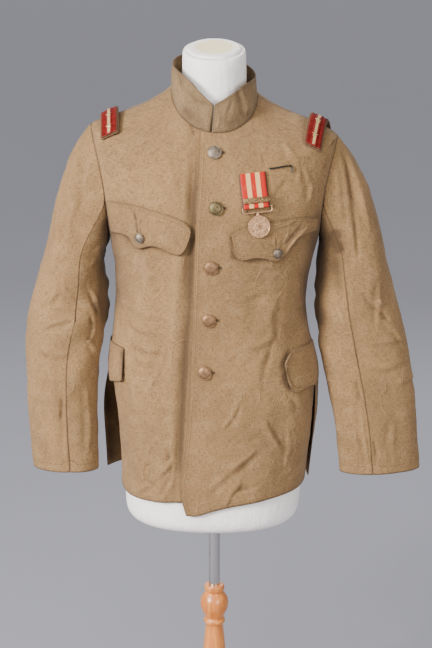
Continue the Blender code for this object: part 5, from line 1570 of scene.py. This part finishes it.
@dataclass
class Buttons:
    """Domed two-part buttons with a rolled rim and a ring of fine cord round the dome."""

    tailor: Tailor
    steps: int = 40
    thread: ClothFinish = ClothFinish("button_thread", lit=(0.62, 0.50, 0.36), pale=(0.72, 0.62, 0.48))
    metals: Tuple[Tuple[str, ButtonMetal], ...] = (
        ("button_front_1", ButtonMetal.SILVER), ("button_front_2", ButtonMetal.BRONZE),
        ("button_front_3", ButtonMetal.COPPER), ("button_front_4", ButtonMetal.COPPER),
        ("button_front_5", ButtonMetal.COPPER), ("button_pocket_right", ButtonMetal.SILVER),
        ("button_pocket_left", ButtonMetal.SILVER),
    )
    # Radius as a share of the button's, and height in metres above the foot
    outline: Tuple[Point2, ...] = (
        (0.00, 0.0000), (0.22, 0.0000), (0.25, 0.0012), (0.88, 0.0013), (0.97, 0.0016), (1.00, 0.0022),
        (0.985, 0.0028), (0.945, 0.0030), (0.90, 0.0028), (0.86, 0.0031), (0.74, 0.0040), (0.55, 0.0047),
        (0.30, 0.00515), (0.00, 0.0053),
    )

    def build(self) -> None:
        """Make and place every button, its shank stitches and its buttonhole."""
        made: Dict[ButtonMetal, bpy.types.Material] = {}
        for node, metal in self.metals:
            if metal not in made:
                made[metal] = metal.value.build()
            seat = seat_of(self.tailor.nodes[node])
            outline = [(share * seat.radius, height) for share, height in rounded(self.outline, 3)]
            bm = turned(outline, self.steps)
            bmesh.ops.transform(bm, matrix=seat.frame(), verts=bm.verts)
            piece = add_piece(f"{node}_dome", bm, made[metal], 30.0)
            self.tailor.put(piece, node, metal.value.name)
            LOG.info("%s: radius %.4f m", piece.name, seat.radius)
        self.add_buttonholes()

    def add_buttonholes(self) -> None:
        """Sew the end of each front buttonhole beside its button, and the pocket threads."""
        thread = self.thread.build()
        # The buttonholes' dark ends are painted shade in their slits.
        dark = PaintFinish("buttonhole_shade", (0.05, 0.032, 0.018), (0.12, 0.08, 0.045)).build()
        for number in range(1, 6):
            seat = seat_of(self.tailor.nodes[f"button_front_{number}"])
            bm = bmesh.new()
            for side in (-1.0, 1.0):
                verts = bmesh.ops.create_cone(bm, cap_ends=True, segments=10, radius1=0.9 * MILLI,
                                              radius2=0.6 * MILLI, depth=6.2 * MILLI)["verts"]
                turned_by(bm, verts, 90.0, "Y")
                bmesh.ops.translate(bm, verts=verts, vec=(seat.radius + 2.2 * MILLI,
                                                          (1.1 * side + 0.4) * MILLI, 0.3 * MILLI))
            bmesh.ops.transform(bm, matrix=seat.frame(), verts=bm.verts)
            piece = add_piece(f"buttonhole_{number}", bm, dark, 60.0)
            self.tailor.put(piece, "front_left", "jacket_cloth", replaces=False)
        for node in ("button_pocket_right", "button_pocket_left"):
            seat = seat_of(self.tailor.nodes[node])
            bm = bmesh.new()
            for side, lean in ((-1.0, 6.0), (1.0, -8.0)):
                verts = bmesh.ops.create_cone(bm, cap_ends=True, segments=8, radius1=0.45 * MILLI,
                                              radius2=0.3 * MILLI, depth=7.0 * MILLI)["verts"]
                turned_by(bm, verts, 90.0 + lean, "X")
                turned_by(bm, verts, lean, "Z")
                bmesh.ops.translate(bm, verts=verts, vec=(1.1 * MILLI * side, seat.radius + 3.2 * MILLI,
                                                          0.6 * MILLI))
            bmesh.ops.transform(bm, matrix=seat.frame(), verts=bm.verts)
            piece = add_piece(f"{node}_threads", bm, thread, 60.0)
            set_map(piece.data, strip_places(mesh_points(piece.data)))
            self.tailor.put(piece, node, "jacket_cloth", replaces=False)


@dataclass
class ShoulderBoards:
    """Two stiff boards: a brown backing, red felt with pale cords, lace and two small stars."""

    tailor: Tailor
    backing: FeltFinish = FeltFinish("board_backing", (0.105, 0.052, 0.032), (0.17, 0.09, 0.05), 0.0010)
    felt: FeltFinish = FeltFinish("board_felt", (0.205, 0.010, 0.008), (0.13, 0.065, 0.035), 0.7 * MILLI)
    lace: LaceFinish = LaceFinish("board_lace")
    star: MetalFinish = MetalFinish("board_star", (1.0, 0.82, 0.46), (0.72, 0.48, 0.18), 0.24, 500.0)
    star_bevel: float = 0.12 * MILLI

    def build(self) -> None:
        """Make both boards."""
        layers = (("backing", self.backing, (0.034, 0.120), 1.1 * MILLI),
                  ("felt", self.felt, (0.030, 0.116), 1.1 * MILLI),
                  ("lace", self.lace, (0.012, 0.116), 0.7 * MILLI))
        star = self.star.build()
        for name, finish, flat, thickness in layers:
            material = finish.build()
            for side in ("left", "right"):
                self.tailor.sew(Shell(f"board_{side}_{name}", Wrap.STRIP, flat, ripple=0.0,
                                      thickness=thickness, held="laid", slot=f"board_{name}",
                                      soft_edge=2.0 * MILLI), material)
        for side in ("left", "right"):
            for number in (1, 2):
                node = f"star_{side}_{number}"
                bm = merged_copy(self.tailor.nodes[node])
                bevel_corners(bm, self.star_bevel)
                piece = add_piece(f"{node}_gilt", bm, star, 20.0)
                self.tailor.put(piece, node, "board_star")
        LOG.info("shoulder boards done")


@dataclass
class Medal:
    """The ribbon, its clasp, the swivelling bar and the disc with a plain wreath."""

    tailor: Tailor
    joint: dict
    half_width: float = 0.0185
    bar_radius: float = 0.0012
    loop_half: float = 0.0225
    loop_drop: float = 0.0085
    stem: float = 0.0045
    disc_radius: float = 0.0172
    disc_thick: float = 0.0030
    sunk: float = 0.6 * MILLI
    leaves: int = 22
    wreath_rings: Tuple[Point2, ...] = ((13.1 * MILLI, 0.5), (11.4 * MILLI, -0.5))
    leaf_size: Tuple[float, float, float] = (1.4 * MILLI, 0.6 * MILLI, 0.4 * MILLI)
    petals: int = 5
    flower_ring: float = 3.4 * MILLI
    petal_size: Tuple[float, float, float] = (2.6 * MILLI, 1.4 * MILLI, 0.5 * MILLI)
    clasp_wider: float = 1.28
    clasp_bevel: float = 0.35 * MILLI
    ribbon_wider: float = 1.12
    ribbon_taller: float = 1.12
    ribbon_aside: float = 0.0015
    clasp_rise: Vector = field(default_factory=lambda: Vector((0.0, 0.0, 0.0026)))
    bronze: MetalFinish = MetalFinish("medal_bronze", (0.50, 0.300, 0.165), (0.30, 0.170, 0.090),
                                      0.38, 300.0)
    brass: MetalFinish = MetalFinish("medal_clasp_brass", (0.34, 0.21, 0.10), (0.11, 0.062, 0.03),
                                     0.42, 420.0)

    def frame(self) -> Matrix:
        """The hanging disc's frame: X along the bar, Y up it and Z out of its front."""
        bar = Vector(self.joint["pos_m"])
        across = -Vector(self.joint["axis"]).normalized()
        middle = 0.5 * (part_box("medal_disc")[0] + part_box("medal_disc")[1])
        down = middle - bar
        down = (down - across * down.dot(across)).normalized()
        out = across.cross(-down).normalized()
        matrix = Matrix((across, -down, out)).transposed().to_4x4()
        matrix.translation = bar
        return matrix

    def build(self) -> None:
        """Make the ribbon, the clasp and the disc."""
        ribbon = RibbonFinish("medal_ribbon", self.half_width)
        self.tailor.sew(Shell("medal_ribbon", Wrap.STRIP, (0.042, 0.072), ripple=0.0, thickness=0.5 * MILLI,
                              slot="medal_ribbon", soft_edge=1.0 * MILLI),
                        ribbon.build(), sideways=self.widen_ribbon)
        self.add_clasp(self.brass.build())
        self.add_disc(self.bronze.build())

    def widen_ribbon(self, points: np.ndarray, normals: np.ndarray, places: np.ndarray) -> np.ndarray:
        """Draws the ribbon out to the width and height that show, from the bar that holds it."""
        across = -np.array(Vector(self.joint["axis"]).normalized())
        off = (points - points.mean(axis=0)) @ across
        wider = (off * (self.ribbon_wider - 1.0) - self.ribbon_aside)[:, None] * across
        above = np.clip(points[:, 2] - self.joint["pos_m"][2] - self.bar_radius, 0.0, None)
        return wider + np.outer(above * (self.ribbon_taller - 1.0), (0.0, 0.25, 0.97))

    def add_clasp(self, material: bpy.types.Material) -> None:
        """Make the clasp: the imported bar made wider and taller, with bevelled corners."""
        bm = merged_copy(self.tailor.nodes["medal_clasp"])
        middle = sum((v.co for v in bm.verts), Vector()) / len(bm.verts)
        across = -Vector(self.joint["axis"]).normalized()
        for vert in bm.verts:
            off = vert.co - middle
            along = off.dot(across)
            rise = self.clasp_rise * (1.0 if off.z > 0 else 0.0)
            vert.co += across * (along * (self.clasp_wider - 1.0)) + rise
        bevel_corners(bm, self.clasp_bevel)
        piece = add_piece("medal_clasp_bar", bm, material, 35.0)
        self.tailor.put(piece, "medal_clasp", "medal_brass")

    def add_disc(self, material: bpy.types.Material) -> None:
        """Make the bar's loop, the stem and the disc with its wreath, as one piece."""
        low = -self.loop_drop
        centre = low - self.stem - self.disc_radius
        thick = 0.5 * self.disc_thick
        face = thick - self.sunk
        bm = self.loop_mesh(self.loop_half, low)
        rim = self.disc_radius
        outline = [(0.0, -thick + 0.0005), (rim - 0.0016, -thick + 0.0005), (rim - 0.0012, -thick),
                   (rim - 0.0003, -thick), (rim, -thick + 0.0004), (rim, thick - 0.0004),
                   (rim - 0.0003, thick), (rim - 0.0010, thick), (rim - 0.0016, face), (0.0, face)]
        disc = turned(outline, 72)
        bmesh.ops.translate(disc, verts=disc.verts, vec=(0.0, centre, 0.0))
        self.join(bm, disc)
        stem = bmesh.new()
        bmesh.ops.create_cone(stem, cap_ends=True, segments=20, radius1=3.0 * MILLI, radius2=1.4 * MILLI,
                              depth=self.stem + 2.6 * MILLI)
        turned_by(stem, stem.verts, -90.0, "X")
        bmesh.ops.scale(stem, verts=stem.verts, vec=(1.0, 1.0, 0.48))
        bmesh.ops.translate(stem, verts=stem.verts, vec=(0.0, low - 0.5 * self.stem - 0.4 * MILLI, 0.0))
        self.join(bm, stem)
        for number in range(self.leaves):
            share = (number + 0.5) / self.leaves
            angle = math.radians(-90.0 + 360.0 * share)
            lean = angle + math.radians(62.0 if share < 0.5 else 118.0)
            for ring, slant in self.wreath_rings:
                self.join(bm, self.grain(self.leaf_size, ring, angle, lean + slant, centre, face))
        for number in range(self.petals):
            angle = math.radians(90.0) + 2.0 * math.pi * number / self.petals
            self.join(bm, self.grain(self.petal_size, self.flower_ring, angle, angle, centre, face))
        boss = bmesh.new()
        bmesh.ops.create_uvsphere(boss, u_segments=16, v_segments=8, radius=1.4 * MILLI)
        bmesh.ops.scale(boss, verts=boss.verts, vec=(1.0, 1.0, 0.5))
        bmesh.ops.translate(boss, verts=boss.verts, vec=(0.0, centre, face + 0.3 * MILLI))
        self.join(bm, boss)
        bmesh.ops.transform(bm, matrix=self.frame(), verts=bm.verts)
        piece = add_piece("medal_disc_struck", bm, material, 35.0)
        self.tailor.put(piece, "medal_disc", "medal_brass")
        LOG.info("medal: %d faces", len(piece.data.polygons))

    def loop_mesh(self, half: float, low: float) -> bmesh.types.BMesh:
        """The wire loop that the disc hangs from, swept from a curve."""
        curve = bpy.data.curves.new("loop", "CURVE")
        curve.dimensions = "3D"
        curve.bevel_depth = self.bar_radius
        curve.bevel_resolution = 3
        spline = curve.splines.new("POLY")
        path = [(-half, -0.0016), (-half, low + 0.0026), (-half + 0.0008, low + 0.0008),
                (-half + 0.0026, low), (half - 0.0026, low), (half - 0.0008, low + 0.0008),
                (half, low + 0.0026), (half, -0.0016), (half - 0.0006, -0.0004),
                (half - 0.0018, 0.0), (-half + 0.0018, 0.0), (-half + 0.0006, -0.0004)]
        spline.points.add(len(path) - 1)
        spline.use_cyclic_u = True
        for point, (x, y) in zip(spline.points, path):
            point.co = (x, y, 0.0, 1.0)
        piece = bpy.data.objects.new("loop", curve)
        bpy.context.scene.collection.objects.link(piece)
        graph = bpy.context.evaluated_depsgraph_get()
        mesh = bpy.data.meshes.new_from_object(piece.evaluated_get(graph))
        bm = bmesh.new()
        bm.from_mesh(mesh)
        bpy.data.objects.remove(piece)
        return bm

    @staticmethod
    def grain(size: Tuple[float, float, float], ring: float, angle: float, lean: float, centre: float,
              face: float) -> bmesh.types.BMesh:
        """One leaf or petal of the relief.

        Args:
            size: its half-length, half-width and height.
            ring: how far it is from the disc's middle.
            angle: where it is round the disc.
            lean: where it points.
            centre: the height of the disc's middle.
            face: how far out the disc's face is.

        Returns:
            The rounded grain.
        """
        bm = bmesh.new()
        bmesh.ops.create_icosphere(bm, subdivisions=2, radius=1.0)
        bmesh.ops.scale(bm, verts=bm.verts, vec=size)
        turned_by(bm, bm.verts, math.degrees(lean), "Z")
        bmesh.ops.translate(bm, verts=bm.verts,
                            vec=(ring * math.cos(angle), centre + ring * math.sin(angle), face))
        return bm

    @staticmethod
    def join(bm: bmesh.types.BMesh, other: bmesh.types.BMesh) -> None:
        """Add another bmesh's faces to this one."""
        mesh = bpy.data.meshes.new("join")
        other.to_mesh(mesh)
        other.free()
        bm.from_mesh(mesh)
        bpy.data.meshes.remove(mesh)


@dataclass
class DressForm:
    """The limbless form and the cream disc on its neck."""

    tailor: Tailor
    coat: PlasterFinish = PlasterFinish("form_white")
    cream: PlasterFinish = PlasterFinish("form_cream", (0.92, 0.79, 0.43), (0.66, 0.56, 0.30), 0.45,
                                          (26.0 * MILLI, 35.0 * MILLI))
    levels: int = 2
    corner: float = 48.0
    corner_hold: float = 0.75
    cap_steps: Tuple[Point2, ...] = ((4.0 * MILLI, -0.8 * MILLI), (12.0 * MILLI, 0.6 * MILLI),
                                     (1.0 * MILLI, -0.6 * MILLI))

    def build(self) -> None:
        """Smooth the form and its neck disc, whose top gets stepped rings."""
        for node, name, finish in (("form_torso", "form_torso_coated", self.coat),
                                   ("form_neck_cap", "form_neck_disc", self.cream)):
            bm = merged_copy(self.tailor.nodes[node])
            into_quads(bm)
            layer = bm.edges.layers.float.get("crease_edge") or bm.edges.layers.float.new("crease_edge")
            for edge in bm.edges:
                if edge.calc_face_angle(0.0) > math.radians(self.corner):
                    edge[layer] = self.corner_hold
            if node == "form_neck_cap":
                top = max(bm.faces, key=lambda face: face.calc_center_median().z)
                for width, rise in self.cap_steps:
                    bmesh.ops.inset_region(bm, faces=[top], thickness=width, depth=rise)
            piece = place_mesh(name, refined(mesh_of(name, bm), self.levels), finish.build())
            self.tailor.put(piece, node, finish.name)
            LOG.info("%s: %d faces", name, len(piece.data.polygons))


@dataclass
class Stand:
    """The plated pole, the turned post and the round base."""

    tailor: Tailor
    wood: WoodFinish = WoodFinish("stand_beech")
    chrome: ChromeFinish = ChromeFinish("pole_chrome")
    steps: int = 64
    bore_level: float = 0.055        # the height of the bore's floor, which the outline leaves out
    bore_near: float = 0.4 * MILLI
    ring_gap: float = 0.05 * MILLI   # points nearer in height than this are on one ring

    def outline_of(self, node: str) -> List[Point2]:
        """The outer outline of a round node, from its lowest to its highest point."""
        bm = merged_copy(self.tailor.nodes[node])
        widest: Dict[int, Point2] = {}
        for vert in bm.verts:
            key = round(vert.co.z / self.ring_gap)
            radius = math.hypot(vert.co.x, vert.co.y)
            if key not in widest or radius > widest[key][0]:
                widest[key] = (radius, vert.co.z)
        bm.free()
        return [widest[key] for key in sorted(widest)]

    def build(self) -> None:
        """Turn the pole, the post and the base."""
        wood, chrome = self.wood.build(), self.chrome.build()
        pole, base = self.outline_of("stand_pole"), self.outline_of("stand_base")
        post = [p for p in self.outline_of("stand_post") if abs(p[1] - self.bore_level) > self.bore_near]
        for node, outline, material, slot in (("stand_pole", pole, chrome, "pole_chrome"),
                                              ("stand_post", rounded(post, 3), wood, "stand_beech"),
                                              ("stand_base", base, wood, "stand_beech")):
            closed = [(0.0, outline[0][1])] + outline + [(0.0, outline[-1][1])]
            piece = add_piece(f"{node}_turned", turned(closed, self.steps), material, 32.0)
            self.tailor.put(piece, node, slot)
            LOG.info("%s: %d rings", piece.name, len(outline))


@dataclass
class Studio:
    """A plain pale floor, soft lights and the photograph's camera."""

    floor: FloorFinish = FloorFinish()
    world: float = 0.42
    even: float = 2.4
    even_wide: float = 60.0
    even_aim: Tuple[float, float, float] = (0.5, 0.55, -0.75)
    looks_at: Tuple[float, float, float] = (0.0, 0.0, 0.85)
    # name, place and size in metres, watts, colour
    soft_lights: Tuple[Tuple[str, Tuple[float, float, float], float, float, Colour], ...] = (
        ("key", (-2.3, -2.0, 1.9), 0.9, 195.0, (1.0, 0.975, 0.94)),
        ("fill", (1.5, -2.8, 1.3), 1.3, 60.0, (1.0, 0.98, 0.96)),
        ("back", (0.4, 2.4, 2.3), 1.4, 30.0, (0.97, 0.98, 1.0)),
    )

    def build(self) -> None:
        """Make the floor, the lights and the camera."""
        bm = bmesh.new()
        bmesh.ops.create_grid(bm, x_segments=8, y_segments=8, size=220.0)
        floor = add_piece("studio_floor", bm, self.floor.build())
        sky = bpy.data.worlds.new("studio")
        sky.use_nodes = True
        background = sky.node_tree.nodes["Background"]
        background.inputs["Color"].default_value = (1.0, 0.985, 0.96, 1.0)
        background.inputs["Strength"].default_value = self.world
        bpy.context.scene.world = sky
        for name, place, size, watts, colour in self.soft_lights:
            light = self.add_light(name, "AREA", watts, Vector(self.looks_at) - Vector(place))
            light.location = place
            light.data.size = size
            light.data.color = colour
        sun = self.add_light("even", "SUN", self.even, Vector(self.even_aim))
        sun.data.angle = math.radians(self.even_wide)
        VIEW.add_camera()

    @staticmethod
    def add_light(name: str, kind: str, energy: float, aim: Vector) -> bpy.types.Object:
        """Add one light that shines along a line."""
        data = bpy.data.lights.new(f"light_{name}", kind)
        data.energy = energy
        light = bpy.data.objects.new(f"light_{name}", data)
        light.rotation_euler = aim.to_track_quat("-Z", "Y").to_euler()
        bpy.context.scene.collection.objects.link(light)
        return light


def main() -> None:
    """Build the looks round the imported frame."""
    logging.basicConfig(level=logging.INFO, format="%(name)s: %(message)s")
    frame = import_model()
    Studio().build()
    tailor = Tailor(frame)
    Jacket(tailor).build()
    Buttons(tailor).build()
    ShoulderBoards(tailor).build()
    joint = next(j for j in frame["joints"] if j["name"] == "medal_swing")
    Medal(tailor, joint).build()
    DressForm(tailor).build()
    Stand(tailor).build()
    pin = frame["nodes"]["ribbon_pin"]
    pin.material_slots[0].material = PaintFinish("pin_black").build()


if __name__ == "__main__":
    main()
